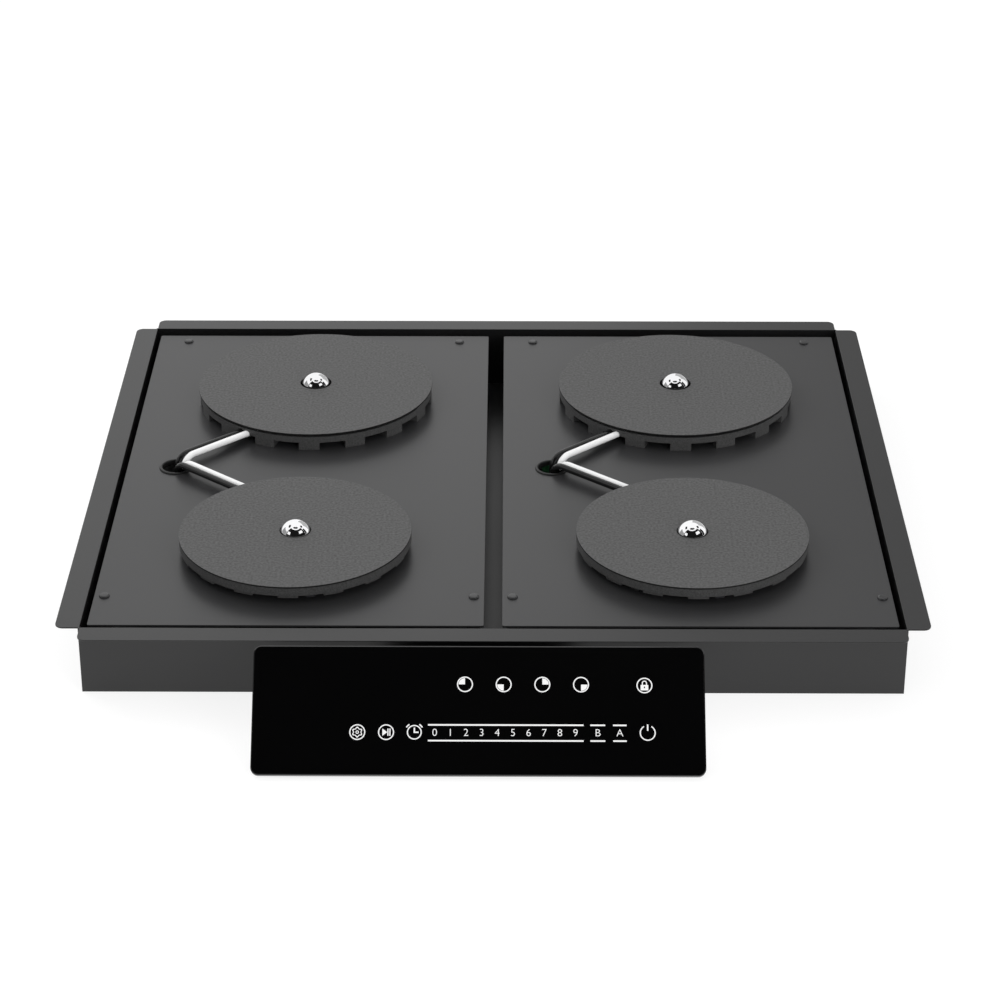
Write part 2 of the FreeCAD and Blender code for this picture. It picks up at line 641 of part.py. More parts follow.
def carrier(kind, side):
    """Carrier of one coil; its origin is the coil's centre on the deck."""
    body = new_body(f"coil_carrier_{kind}_{side}", x=deck_x[side], y=coil_y[kind], z=deck_top)
    section = new_sketch(body, "section", "XZ_Plane")
    rim = rim_radius[kind]
    rim_inside = f"({rim} - dim.rim_wall)"
    plate_top = f"({band_low[kind]} + dim.carrier_plate)"
    lip = "(dim.dome_width / 2 + dim.sensor_play)"
    lip_top = f"({cover_low} - dim.lip_drop)"
    points = [
        (hub_bore, "0"), (hub_radius, "0"), (hub_radius, band_low[kind]),
        ("dim.rib_start", band_low[kind]), ("dim.rib_start", tooth_low[kind]), (rim, tooth_low[kind]),
        (rim, rim_top[kind]), (rim_inside, rim_top[kind]), (rim_inside, plate_top),
        (hub_radius, plate_top), (hub_radius, cover_low), (sensor_hole[kind], cover_low),
        (sensor_hole[kind], lip_top), (lip, lip_top), (lip, lip_low), (hub_bore, lip_low),
    ]
    outline(section, points)
    revolve(body, section)

    gaps = new_sketch(body, "rib_gap", lift=tooth_low[kind])
    pitch = f"(360 / {TOOTH_COUNT})"
    sector(gaps, "(dim.rib_start - dim.rim_wall)", f"({rim} + dim.rim_wall)",
           "(dim.tooth_angle / 2 - 90)", f"({pitch} - dim.tooth_angle / 2 - 90)")
    depth = f"{band_low[kind]} - {tooth_low[kind]}"
    polar(body, pocket(body, gaps, depth, reverse=True), gaps, TOOTH_COUNT)

    tabs = new_sketch(body, "cover_tabs", lift=rim_top[kind])
    for middle in (f"{pitch}", f"(180 - {pitch})", f"(180 + {pitch})", f"(360 - {pitch})"):
        sector(tabs, rim_inside, rim, f"({middle} - dim.tooth_angle / 2)",
               f"({middle} + dim.tooth_angle / 2)")
    pad(body, tabs, f"dim.{kind}_cover_gap")

    centre = Vector(0, number(coil_y[kind]), 0)
    for index, (_, riser, end) in enumerate(lead_routes(kind)):
        hole = body.newObject("PartDesign::SubtractiveCylinder", f"{body.Name}_wire_hole_{index}")
        hole.setExpression("Radius", "dim.lead_width / 2 + dim.lead_play")
        hole.setExpression("Height", "2 * dim.lead_reach")
        heading = (end - riser).normalize()
        inner_end = end + heading * number("dim.lead_play")
        hole.Placement = Placement(inner_end - centre, Rotation(Vector(0, 0, 1), -heading))
    return body


def cover(kind, side):
    """Thin insulating disc over one coil with a hole for the sensor."""
    body = new_body(f"coil_cover_{kind}_{side}", x=deck_x[side], y=coil_y[kind],
                    z=f"{deck_top} + {cover_low}")
    disc = new_sketch(body, "disc")
    circle(disc, "0", "0", f"dim.{kind}_cover / 2")
    circle(disc, "0", "0", sensor_hole[kind])
    pad(body, disc, "dim.cover_sheet")


def half_turns(count, inner, pitch, offset):
    """Half circles of a flat spiral about two centres, moved sideways by an offset."""
    arcs = []
    for index in range(count):
        radius = inner + index * pitch / 2 + offset
        centre = Vector(pitch / 2 * (index % 2), 0, 0)
        sign = -1 if index % 2 else 1
        start = centre + Vector(sign * radius, 0, 0)
        middle = centre + Vector(0, sign * radius, 0)
        end = centre - Vector(sign * radius, 0, 0)
        arcs.append(Part.Arc(start, middle, end).toShape())
    return arcs


def winding(kind, side):
    """Flat spiral of stranded wire, one unbroken strip wound from the hub outwards."""
    inner = number("dim.winding_inner + dim.wire_width / 2")
    outer = number(f"{rim_radius[kind]} - dim.rim_wall - dim.winding_margin - dim.wire_width / 2")
    pitch = number("dim.wire_width + dim.wire_gap")
    count = 2 * int((outer - inner) / pitch)
    half = number("dim.wire_width / 2")
    outside = half_turns(count, inner, pitch, half)
    inside = half_turns(count, inner, pitch, -half)
    caps = [Part.makeLine(inside[0].Vertexes[0].Point, outside[0].Vertexes[0].Point),
            Part.makeLine(inside[-1].Vertexes[-1].Point, outside[-1].Vertexes[-1].Point)]
    strip = Part.Face(Part.Wire(Part.__sortEdges__(outside + inside + caps)))
    height = number("dim.wire_height")
    solid = strip.extrude(Vector(0, 0, height))
    length = sum(edge.Length for edge in half_turns(count, inner, pitch, 0))
    if abs(solid.Volume / (length * 2 * half * height) - 1) > VOLUME_ERROR:
        raise RuntimeError(f"winding {kind} has the wrong volume")
    least_gap = min(Part.Vertex(point).distToShape(later)[0]
                    for earlier, later in zip(outside, inside[2:])
                    for point in earlier.discretize(GAP_POINTS))
    print(f"coil_winding_{kind}_{side}: {count // 2} turns, least gap {least_gap:.2f} mm")
    feature = doc.addObject("Part::Feature", f"coil_winding_{kind}_{side}")
    feature.Label = f"coil_winding_{kind}_{side}"
    feature.Shape = solid
    feature.Placement = at(deck_x[side], coil_y[kind],
                           f"{deck_top} + {band_low[kind]} + dim.carrier_plate")
    parts.append(feature)


def ferrites(kind, side):
    """Ferrite bars under the plate, one in every other gap between the ribs."""
    bars = []
    centre = at(deck_x[side], coil_y[kind], deck_top)
    corner = Vector(number("dim.ferrite_start"), number("-dim.ferrite_width / 2"),
                    number(f"{band_low[kind]} - dim.ferrite_height"))
    for index in range(FERRITE_COUNT):
        angle = 360 / TOOTH_COUNT * (0.5 + index * TOOTH_COUNT / FERRITE_COUNT)
        bar = doc.addObject("Part::Box", f"ferrite_{kind}_{side}_{index}")
        bar.setExpression("Length", "dim.ferrite_length")
        bar.setExpression("Width", "dim.ferrite_width")
        bar.setExpression("Height", "dim.ferrite_height")
        bar.Placement = centre * Placement(Vector(), Rotation(Vector(0, 0, 1), angle)) \
            * Placement(corner, Rotation())
        bars.append(bar)
    group(f"ferrite_bars_{kind}_{side}", bars)


# Sensors: a sprung metal dome that slides in a cup pushed up through the deck into the hub
def sensor_cup(kind, side):
    """Cup that holds spring and dome; its flange clamps the deck against the hub."""
    body = new_body(f"sensor_cup_{kind}_{side}", x=deck_x[side], y=coil_y[kind], z=deck_top)
    section = new_sketch(body, "section", "XZ_Plane")
    floor_low = f"({cup_floor_top} - dim.cup_floor)"
    flange = f"({cup_outer} + dim.cup_flange)"
    wire_hole = "dim.cup_wire_hole / 2"
    points = [
        (wire_hole, floor_low), (flange, floor_low), (flange, "-dim.deck_sheet"),
        (cup_outer, "-dim.deck_sheet"), (cup_outer, lip_low), (cup_inner, lip_low),
        (cup_inner, cup_floor_top), (wire_hole, cup_floor_top),
    ]
    outline(section, points)
    revolve(body, section)


def sensor_dome(kind, side):
    """Pressed dome with a collar that the hub's lip stops."""
    body = new_body(f"sensor_dome_{kind}_{side}", x=deck_x[side], y=coil_y[kind], z=deck_top)
    section = new_sketch(body, "section", "XZ_Plane")
    radius = "(dim.dome_width / 2)"
    inside = f"({radius} - dim.dome_wall)"
    inner_rise = "(dim.dome_rise - dim.dome_wall)"
    apex = "(dim.coil_rise + dim.dome_rise)"
    collar_top = f"({collar_low} + dim.collar_height)"
    points = [
        ("0", apex), (radius, "dim.coil_rise"), (radius, collar_top), (collar_radius, collar_top),
        (collar_radius, collar_low), (inside, collar_low), (inside, "dim.coil_rise"),
        ("0", f"{apex} - dim.dome_wall"),
    ]
    outer_ball = f"(({radius} ^ 2 + dim.dome_rise ^ 2) / (2 * dim.dome_rise))"
    inner_ball = f"(({inside} ^ 2 + {inner_rise} ^ 2) / (2 * {inner_rise}))"
    outline(section, points, {0: (outer_ball, -1), 6: (inner_ball, 1)})
    revolve(body, section)


def sensor_spring(kind, side):
    """Helical compression spring between the cup's floor and the dome's collar."""
    body = new_body(f"sensor_spring_{kind}_{side}", x=deck_x[side], y=coil_y[kind],
                    z=f"{deck_top} + {cup_floor_top}")
    section = new_sketch(body, "section", "XZ_Plane")
    wire = "dim.spring_wire / 2"
    circle(section, f"{cup_inner} - dim.spring_play - {wire}", wire, wire)
    helix = body.newObject("PartDesign::AdditiveHelix", f"{body.Name}_helix")
    helix.Profile = section
    helix.ReferenceAxis = (section, ["V_Axis"])
    helix.Mode = "pitch-turns-angle"
    rise = f"({collar_low} - {cup_floor_top} - dim.spring_wire)"
    helix.setExpression("Pitch", f"{rise} / dim.spring_turns")
    helix.setExpression("Turns", "dim.spring_turns")


# Leads: a live and a return wire for each coil, from the power board up through the grommet to the rim
def bent_path(foot, corner, end):
    """Two straight runs joined by a tangent arc."""
    radius = number("dim.lead_bend")
    arriving = (corner - foot).normalize()
    leaving = (end - corner).normalize()
    half = arriving.getAngle(leaving) / 2
    first = corner - arriving * radius * math.tan(half)
    last = corner + leaving * radius * math.tan(half)
    inward = (leaving - arriving).normalize()
    middle = corner + inward * radius * (1 / math.cos(half) - 1)
    return Part.Wire([Part.LineSegment(foot, first).toShape(), Part.Arc(first, middle, last).toShape(),
                      Part.LineSegment(last, end).toShape()])


def sleeved_wire(label, corners, side):
    """One wire swept along its route."""
    path = bent_path(*corners)
    radius = number("dim.lead_width / 2")
    ring = Part.Wire(Part.Circle(corners[0], corners[1] - corners[0], radius).toShape())
    solid = path.makePipeShell([ring], True, False)
    if abs(solid.Volume / (math.pi * radius ** 2 * path.Length) - 1) > VOLUME_ERROR:
        raise RuntimeError(f"{label} has the wrong volume")
    feature = doc.addObject("Part::Feature", label)
    feature.Shape = solid
    feature.Placement = at(deck_x[side], "0", deck_top)
    return feature


for side in SIDES:
    for kind in KINDS:
        carrier(kind, side)
        ferrites(kind, side)
        winding(kind, side)
        cover(kind, side)
        sensor_cup(kind, side)
        sensor_spring(kind, side)
        sensor_dome(kind, side)

for side in SIDES:
    wires = {"coil": [], "return": []}
    for kind in KINDS:
        for use, route in zip(wires, lead_routes(kind)):
            wires[use].append(sleeved_wire(f"{use}_lead_{kind}_{side}", route, side))
    for use, pair in wires.items():
        group(f"{use}_leads_{side}", pair)


# Fans: a square frame with a motor plate on struts, and a bladed rotor on its shaft
rotor_low = "dim.rotor_gap"
rotor_top = "(dim.fan_height - dim.motor_plate - dim.rotor_gap)"
hub_floor = f"({rotor_low} + dim.rotor_cap)"


def fan_frame(side):
    """Frame, struts, motor plate and shaft of one fan."""
    body = new_body(f"fan_frame_{side}", x=deck_x[side], y=fan_y, z="dim.tray_sheet")
    square = new_sketch(body, "square")
    half = "(dim.fan_width / 2)"
    rounded_rectangle(square, f"-{half}", f"-{half}", half, half, "dim.fan_corner")
    circle(square, "0", "0", "dim.fan_bore / 2")
    for x in ("-dim.fan_hole_spread / 2", "dim.fan_hole_spread / 2"):
        for y in ("-dim.fan_hole_spread / 2", "dim.fan_hole_spread / 2"):
            circle(square, x, y, screw_hole)
    pad(body, square, "dim.fan_height")
    plate_low = "(dim.fan_height - dim.motor_plate)"
    strut = new_sketch(body, "strut", lift=plate_low)
    rectangle(strut, "dim.motor_width / 2 - dim.strut_width / 2", "-dim.strut_width / 2",
              "dim.fan_bore / 2 + (dim.fan_width - dim.fan_bore) / 4", "dim.strut_width / 2")
    strut_pad = pad(body, strut, "dim.motor_plate")
    polar(body, strut_pad, strut, STRUT_COUNT)
    motor = new_sketch(body, "motor", lift=plate_low)
    circle(motor, "0", "0", "dim.motor_width / 2")
    pad(body, motor, "dim.motor_plate")
    shaft = new_sketch(body, "shaft", lift=plate_low)
    circle(shaft, "0", "0", "dim.shaft_width / 2")
    pad(body, shaft, f"{plate_low} - {hub_floor} - dim.shaft_end_play", reverse=True)


def blade_section(body, name, distance, chord, pitch):
    """Slanted blade section across the radius at a distance from the axis."""
    sketch = new_sketch(body, name, "YZ_Plane", lift=distance)
    level = f"(({rotor_low} + {rotor_top}) / 2)"
    points = []
    for along, across in ((-1, -1), (1, -1), (1, 1), (-1, 1)):
        forward = f"{along} * {chord} / 2"
        upward = f"{across} * dim.blade_sheet / 2"
        points.append((f"{forward} * cos({pitch}) - {upward} * sin({pitch})",
                       f"{level} + {forward} * sin({pitch}) + {upward} * cos({pitch})"))
    outline(sketch, points)
    return sketch


def fan_rotor(side):
    """Hub cup with twisted blades, running on the frame's shaft."""
    body = new_body(f"fan_rotor_{side}", x=deck_x[side], y=fan_y, z="dim.tray_sheet")
    section = new_sketch(body, "hub", "XZ_Plane")
    hub = "dim.rotor_hub / 2"
    hub_inside = f"({hub} - dim.rotor_wall)"
    boss = "dim.rotor_boss / 2"
    bore = "(dim.shaft_width / 2 + dim.shaft_play)"
    points = [
        ("0", rotor_low), (hub, rotor_low), (hub, rotor_top), (hub_inside, rotor_top),
        (hub_inside, hub_floor), (boss, hub_floor), (boss, rotor_top), (bore, rotor_top),
        (bore, hub_floor), ("0", hub_floor),
    ]
    outline(section, points)
    revolve(body, section)
    tip_radius = "(dim.fan_bore / 2 - dim.fan_tip_gap)"
    tip_half = "((dim.blade_tip * cos(dim.tip_pitch) + dim.blade_sheet * sin(dim.tip_pitch)) / 2)"
    root = blade_section(body, "blade_root", f"{hub} - dim.blade_set", "dim.blade_root", "dim.root_pitch")
    tip = blade_section(body, "blade_tip", f"sqrt({tip_radius} ^ 2 - {tip_half} ^ 2)", "dim.blade_tip",
                        "dim.tip_pitch")
    blade = body.newObject("PartDesign::AdditiveLoft", f"{body.Name}_blade")
    blade.Profile = root
    blade.Sections = [tip]
    blade.Ruled = True
    level = new_sketch(body, "axis")
    circle(level, "0", "0", bore)
    polar(body, blade, level, BLADE_COUNT)


for side in SIDES:
    fan_frame(side)
    fan_rotor(side)

# Power electronics: one board for each deck on spacers, with heat sink, capacitors and choke
board_low = "(dim.tray_sheet + dim.board_rise)"
board_top = f"({board_low} + dim.board_sheet)"
board_half_width = f"(-{lead_hole_x} + dim.lead_width / 2 + dim.board_margin)"
board_half_depth = "(dim.board_depth / 2)"
spacers = []
sinks = []
capacitors = []
chokes = []
for side in SIDES:
    board = new_body(f"power_board_{side}", x=deck_x[side], z=board_low)
    sheet = new_sketch(board, "sheet")
    rectangle(sheet, f"-{board_half_width}", f"-{board_half_depth}", board_half_width, board_half_depth)
    pad(board, sheet, "dim.board_sheet")

    for x_sign in "-+":
        for y_sign in "-+":
            spacer = doc.addObject("Part::Cylinder", f"spacer_{side}")
            spacer.setExpression("Radius", "dim.spacer_width / 2")
            spacer.setExpression("Height", "dim.board_rise")
            spacer.Placement = at(f"{deck_x[side]} {x_sign} ({board_half_width} - dim.spacer_inset)",
                                  f"{y_sign}({board_half_depth} - dim.spacer_inset)", "dim.tray_sheet")
            spacers.append(spacer)

    sink = fixed_body(f"heat_sink_{side}", at(deck_x[side], "0", board_top))
    base = new_sketch(sink, "base")
    sink_x = "(dim.sink_width / 2)"
    sink_y = "(dim.sink_depth / 2)"
    rectangle(base, f"-{sink_x}", f"-{sink_y}", sink_x, sink_y)
    pad(sink, base, "dim.sink_base")
    fin = new_sketch(sink, "fin")
    rectangle(fin, f"-{sink_x}", f"-{sink_y}", f"dim.fin_sheet - {sink_x}", sink_y)
    linear(sink, pad(sink, fin, "dim.sink_height"), fin, "dim.sink_width - dim.fin_sheet", FIN_COUNT)
    sinks.append(sink)

    for step in (-1, 0, 1):
        block = fixed_body(f"capacitor_{side}_{step + 1}",
                           at(f"{deck_x[side]} + {step} * dim.capacitor_pitch",
                              f"{board_half_depth} - dim.capacitor_inset", board_top))
        foot = new_sketch(block, "foot")
        rounded_rectangle(foot, "-dim.capacitor_width / 2", "-dim.capacitor_depth / 2",
                          "dim.capacitor_width / 2", "dim.capacitor_depth / 2", "dim.capacitor_edge")
        pad(block, foot, "dim.capacitor_height")
        capacitors.append(block)

    choke = fixed_body(f"choke_{side}",
                       at(deck_x[side], f"dim.choke_inset - {board_half_depth}", board_top))
    core = new_sketch(choke, "core", "XZ_Plane")
    window = "dim.choke_window / 2"
    rectangle(core, "-dim.choke_width / 2", "0", "dim.choke_width / 2", "dim.choke_height")
    rectangle(core, f"-{window}", f"dim.choke_height / 2 - {window}", window,
              f"dim.choke_height / 2 + {window}")
    pad(choke, core, "dim.choke_height", midplane=True)
    chokes.append(choke)
group("board_spacers", spacers)
group("heat_sinks", sinks)
group("film_capacitors", capacitors)
group("filter_chokes", chokes)

# Mains inlet: a gland through the rear wall and a terminal block behind it
gland = new_body("cable_gland", x="dim.gland_shift", y=tray_half_depth, z="dim.gland_rise",
                 turn=Rotation(Vector(1, 0, 0), -90))
section = new_sketch(gland, "section", "XZ_Plane")
bore = "dim.gland_bore / 2"
nut = "dim.gland_nut / 2"
thread = "dim.gland_thread / 2"
nut_low = "(-dim.tray_sheet - dim.gland_nut_length)"
points = [
    (bore, nut_low), (nut, nut_low), (nut, "-dim.tray_sheet"), (thread, "-dim.tray_sheet"),
    (thread, "0"), (nut, "0"), (nut, "dim.gland_body / 2"), (thread, "dim.gland_body"),
    (bore, "dim.gland_body"),
]
outline(section, points)
revolve(gland, section)

terminal = new_body("terminal_block", x="dim.gland_shift", z="dim.tray_sheet",
                    y=f"{tray_half_depth} - dim.tray_sheet - dim.terminal_inset")
block = new_sketch(terminal, "block")
rectangle(block, "-dim.terminal_width / 2", "-dim.terminal_depth / 2", "dim.terminal_width / 2",
          "dim.terminal_depth / 2")
pad(terminal, block, "dim.terminal_height")
entry_row = f"(dim.terminal_pitch * {TERMINAL_COUNT - 1})"
entries = new_sketch(terminal, "entries", "XZ_Plane", lift="-dim.terminal_depth / 2")
circle(entries, f"-{entry_row} / 2", "dim.terminal_height / 2", "dim.terminal_hole / 2")
linear(terminal, pocket(terminal, entries, "dim.terminal_depth / 2", reverse=True), entries, entry_row,
       TERMINAL_COUNT)

# Touch control: a glass on a moulded housing, leaning back; every piece shares the panel's own frame,
# whose origin is the middle of the glass's lower front edge, x along it, y up the slope, z out of it
panel_turn = Rotation(Vector(1, 0, 0), number("dim.panel_tilt"))
panel_y = f"(-{tray_half_depth} - dim.panel_reach)"
glass_half = "(dim.glass_width / 2)"
glass_back = "(-dim.glass_sheet)"
housing_back = f"({glass_back} - dim.housing_depth)"


def panel_body(label):
    """Body in the panel's frame."""
    return new_body(label, x="dim.panel_shift", y=panel_y, z="dim.panel_lift", turn=panel_turn)


glass = panel_body("control_glass")
pane = new_sketch(glass, "pane", lift=glass_back)
rounded_rectangle(pane, f"-{glass_half}", "0", glass_half, "dim.glass_height", "dim.glass_corner")
dress(glass, pad(glass, pane, "dim.glass_sheet"), "Chamfer", "dim.glass_chamfer", "0")

housing_x = f"({glass_half} - dim.housing_side)"
housing_low = "dim.housing_rise"
housing_high = "(dim.glass_height - dim.housing_rise / 2)"
housing = panel_body("control_housing")
shell = new_sketch(housing, "shell", lift=housing_back)
rounded_rectangle(shell, f"-{housing_x}", housing_low, housing_x, housing_high, "dim.housing_corner")
dress(housing, pad(housing, shell, "dim.housing_depth"), "Fillet", "dim.housing_edge", housing_back)
hollow = new_sketch(housing, "hollow", lift=glass_back)
rectangle(hollow, f"dim.housing_wall - {housing_x}", f"{housing_low} + dim.housing_wall",
          f"{housing_x} - dim.housing_wall", f"{housing_high} - dim.housing_wall")
pocket(housing, hollow, "dim.housing_depth - dim.housing_wall")
slope_screw_y = f"(({housing_low} + {housing_high}) / 2 + dim.boss_width / 2)"
slope_screw_x = ["(-dim.bracket_hole_spread / 2)", "(dim.bracket_hole_spread / 2)"]
boss_height = "(dim.housing_depth - dim.touch_sheet - dim.housing_wall)"
bosses = new_sketch(housing, "bosses", lift=housing_back)
for x in slope_screw_x:
    circle(bosses, x, slope_screw_y, "dim.boss_width / 2")
pad(housing, bosses, f"{boss_height} + dim.housing_wall / 2")
boss_holes = new_sketch(housing, "boss_holes", lift=housing_back)
for x in slope_screw_x:
    circle(boss_holes, x, slope_screw_y, screw_hole)
pocket(housing, boss_holes, "dim.bracket_screw - dim.bracket_sheet + dim.screw_play", reverse=True)

touch = panel_body("touch_board")
sheet = new_sketch(touch, "sheet", lift=f"{glass_back} - dim.touch_sheet")
inset = "(dim.housing_wall + dim.touch_margin)"
rectangle(sheet, f"{inset} - {housing_x}", f"{housing_low} + {inset}", f"{housing_x} - {inset}",
          f"{housing_high} - {inset}")
pad(touch, sheet, "dim.touch_sheet")

# Bracket: a strip folded twice, from the tray's front wall along a shelf and up the back of the housing
tilt_cos = "cos(dim.panel_tilt)"
tilt_sin = "sin(dim.panel_tilt)"
bracket = new_body("control_bracket", x="dim.panel_shift", y=f"-{tray_half_depth}")


def slope_point(along, depth):
    """Point of the panel's frame in the bracket's: depth is measured from the glass front backwards."""
    return (f"({along}) * {tilt_cos} + ({depth}) * {tilt_sin} - dim.panel_reach",
            f"dim.panel_lift + ({along}) * {tilt_sin} - ({depth}) * {tilt_cos}")


def slope_at_height(height, depth):
    """Distance up the slope at which a plane behind the glass reaches a height."""
    return f"(({height}) - dim.panel_lift + ({depth}) * {tilt_cos}) / {tilt_sin}"


front_face = "(dim.glass_sheet + dim.housing_depth)"
rear_face = f"({front_face} + dim.bracket_sheet)"
shelf_top = "(dim.bracket_lift + dim.bracket_sheet)"
wall_top = "(dim.bracket_lift + dim.bracket_wall)"
strip = new_sketch(bracket, "strip", "YZ_Plane")
points = [
    ("0", "dim.bracket_lift"), ("0", wall_top), ("-dim.bracket_sheet", wall_top),
    ("-dim.bracket_sheet", shelf_top),
    slope_point(slope_at_height(shelf_top, rear_face), rear_face),
    slope_point("dim.bracket_slope", rear_face), slope_point("dim.bracket_slope", front_face),
    slope_point(slope_at_height("dim.bracket_lift", front_face), front_face),
]
outline(strip, points)
pad(bracket, strip, "dim.bracket_width", midplane=True)
wall_holes = new_sketch(bracket, "wall_holes", "XZ_Plane")
for x in slope_screw_x:
    circle(wall_holes, x, wall_screw_z, screw_hole)
pocket(bracket, wall_holes, "dim.bracket_sheet", reverse=True)
seat = Placement(Vector(0, number("-dim.panel_reach"), number("dim.panel_lift")), panel_turn)
for index, x in enumerate(slope_screw_x):
    hole = bracket.newObject("PartDesign::SubtractiveCylinder", f"slope_hole_{index}")
    hole.setExpression("Radius", screw_hole)
    hole.setExpression("Height", "dim.bracket_sheet * 2")
    hole.Placement = seat * at(x, slope_screw_y, f"-{rear_face} - dim.bracket_sheet / 2")

bracket_screws = []
for index, x in enumerate(wall_screw_x):
    bracket_screws.append(domed_screw(f"wall_screw_{index}", "dim.bracket_screw",
                                    at(x, f"-{tray_half_depth} - dim.bracket_sheet", wall_screw_z,
                                       Rotation(Vector(1, 0, 0), 90))))
panel_place = at("dim.panel_shift", panel_y, "dim.panel_lift", panel_turn)
for index, x in enumerate(slope_screw_x):
    bracket_screws.append(domed_screw(f"slope_screw_{index}", "dim.bracket_screw",
                                    panel_place * at(x, slope_screw_y, f"-{rear_face}",
                                                     Rotation(Vector(1, 0, 0), 180))))
group("bracket_screws", bracket_screws)

# Every object is checked before anything is written
doc.recompute()
for item in doc.Objects:
    if "Invalid" in item.State or "Error" in item.State:
        raise RuntimeError(f"{item.Label} failed: {item.State}")
for part in parts:
    if part.Shape.isNull() or not part.Shape.isValid() or not part.Shape.Solids:
        raise RuntimeError(f"{part.Label} has no valid solid")
os.makedirs("parts", exist_ok=True)
for part in parts:
    part.Shape.exportStep(os.path.join("parts", f"{part.Label}.step"))
print(len(parts), "nodes")
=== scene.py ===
import math

import bmesh
import bpy
from mathutils import Matrix, Vector


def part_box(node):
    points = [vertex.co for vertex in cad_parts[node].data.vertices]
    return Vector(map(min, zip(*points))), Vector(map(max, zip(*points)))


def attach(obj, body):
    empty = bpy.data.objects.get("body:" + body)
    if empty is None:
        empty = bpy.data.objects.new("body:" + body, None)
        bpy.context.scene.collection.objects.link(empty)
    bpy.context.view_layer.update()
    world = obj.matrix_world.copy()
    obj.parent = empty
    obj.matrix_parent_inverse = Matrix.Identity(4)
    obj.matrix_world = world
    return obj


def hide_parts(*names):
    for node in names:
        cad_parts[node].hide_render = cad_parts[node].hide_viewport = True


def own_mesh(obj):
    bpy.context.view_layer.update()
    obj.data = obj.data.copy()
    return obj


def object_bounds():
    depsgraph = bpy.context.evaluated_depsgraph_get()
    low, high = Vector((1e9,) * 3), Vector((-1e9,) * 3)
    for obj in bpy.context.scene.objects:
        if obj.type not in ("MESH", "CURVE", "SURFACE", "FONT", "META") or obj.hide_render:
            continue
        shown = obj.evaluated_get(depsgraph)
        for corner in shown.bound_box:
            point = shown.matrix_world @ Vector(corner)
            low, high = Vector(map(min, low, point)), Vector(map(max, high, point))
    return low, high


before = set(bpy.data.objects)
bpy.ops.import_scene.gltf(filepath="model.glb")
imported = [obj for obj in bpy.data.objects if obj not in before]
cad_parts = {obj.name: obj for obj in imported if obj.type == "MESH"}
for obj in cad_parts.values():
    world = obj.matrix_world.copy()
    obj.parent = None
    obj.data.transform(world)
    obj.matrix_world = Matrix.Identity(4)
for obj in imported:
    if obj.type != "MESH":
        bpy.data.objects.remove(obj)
cad_low, cad_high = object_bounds()


# Tray: a steel floor and four folded walls, welded together; their flanges rest on the rim of a cut-out.
# Its near-black powder coat is satin, with a fine grain like orange peel and slightly rounded edges.
GRAIN_DETAIL = 2
GRAIN_DEPTH = 0.0002
CLOUDS_PER_METRE = 9
CLOUD_DETAIL = 3
NOISE_MIDDLE = 0.5


def reckon(tree, operation, *values):
    """Math node fed by sockets or plain numbers; gives the socket of its result."""
    node = tree.nodes.new("ShaderNodeMath")
    node.operation = operation
    for socket, value in zip(node.inputs, values):
        if isinstance(value, bpy.types.NodeSocket):
            tree.links.new(value, socket)
        else:
            socket.default_value = value
    return node.outputs[0]


def fine_grain():
    """Node group: a speckled colour and roughness, and the grain's height, on the piece's own coordinates."""
    group = bpy.data.node_groups.new("fine_grain", "ShaderNodeTree")
    for name, kind in (("Color", "Color"), ("Roughness", "Float"), ("Grain scale", "Float"),
                       ("Speckle", "Float"), ("Cloud", "Float")):
        group.interface.new_socket(name, in_out="INPUT", socket_type=f"NodeSocket{kind}")
    for name, kind in (("Color", "Color"), ("Roughness", "Float"), ("Height", "Float")):
        group.interface.new_socket(name, in_out="OUTPUT", socket_type=f"NodeSocket{kind}")
    nodes, links = group.nodes, group.links
    given = nodes.new("NodeGroupInput")
    result = nodes.new("NodeGroupOutput")
    place = nodes.new("ShaderNodeTexCoord")
    grain = nodes.new("ShaderNodeTexNoise")
    grain.inputs["Detail"].default_value = GRAIN_DETAIL
    clouds = nodes.new("ShaderNodeTexNoise")
    clouds.inputs["Scale"].default_value = CLOUDS_PER_METRE
    clouds.inputs["Detail"].default_value = CLOUD_DETAIL
    links.new(place.outputs["Object"], grain.inputs["Vector"])
    links.new(place.outputs["Object"], clouds.inputs["Vector"])
    links.new(given.outputs["Grain scale"], grain.inputs["Scale"])
    factors = []
    for texture, amount in ((grain, "Speckle"), (clouds, "Cloud")):
        centred = reckon(group, "SUBTRACT", texture.outputs["Fac"], NOISE_MIDDLE)
        factors.append(reckon(group, "MULTIPLY_ADD", centred, given.outputs[amount], 1))
    speckle, cloud = factors
    shade = nodes.new("ShaderNodeVectorMath")
    shade.operation = "SCALE"
    links.new(given.outputs["Color"], shade.inputs[0])
    links.new(reckon(group, "MULTIPLY", speckle, cloud), shade.inputs["Scale"])
    links.new(shade.outputs[0], result.inputs["Color"])
    links.new(reckon(group, "MULTIPLY", given.outputs["Roughness"], cloud), result.inputs["Roughness"])
    links.new(grain.outputs["Fac"], result.inputs["Height"])
    return group


FINE_GRAIN = fine_grain()


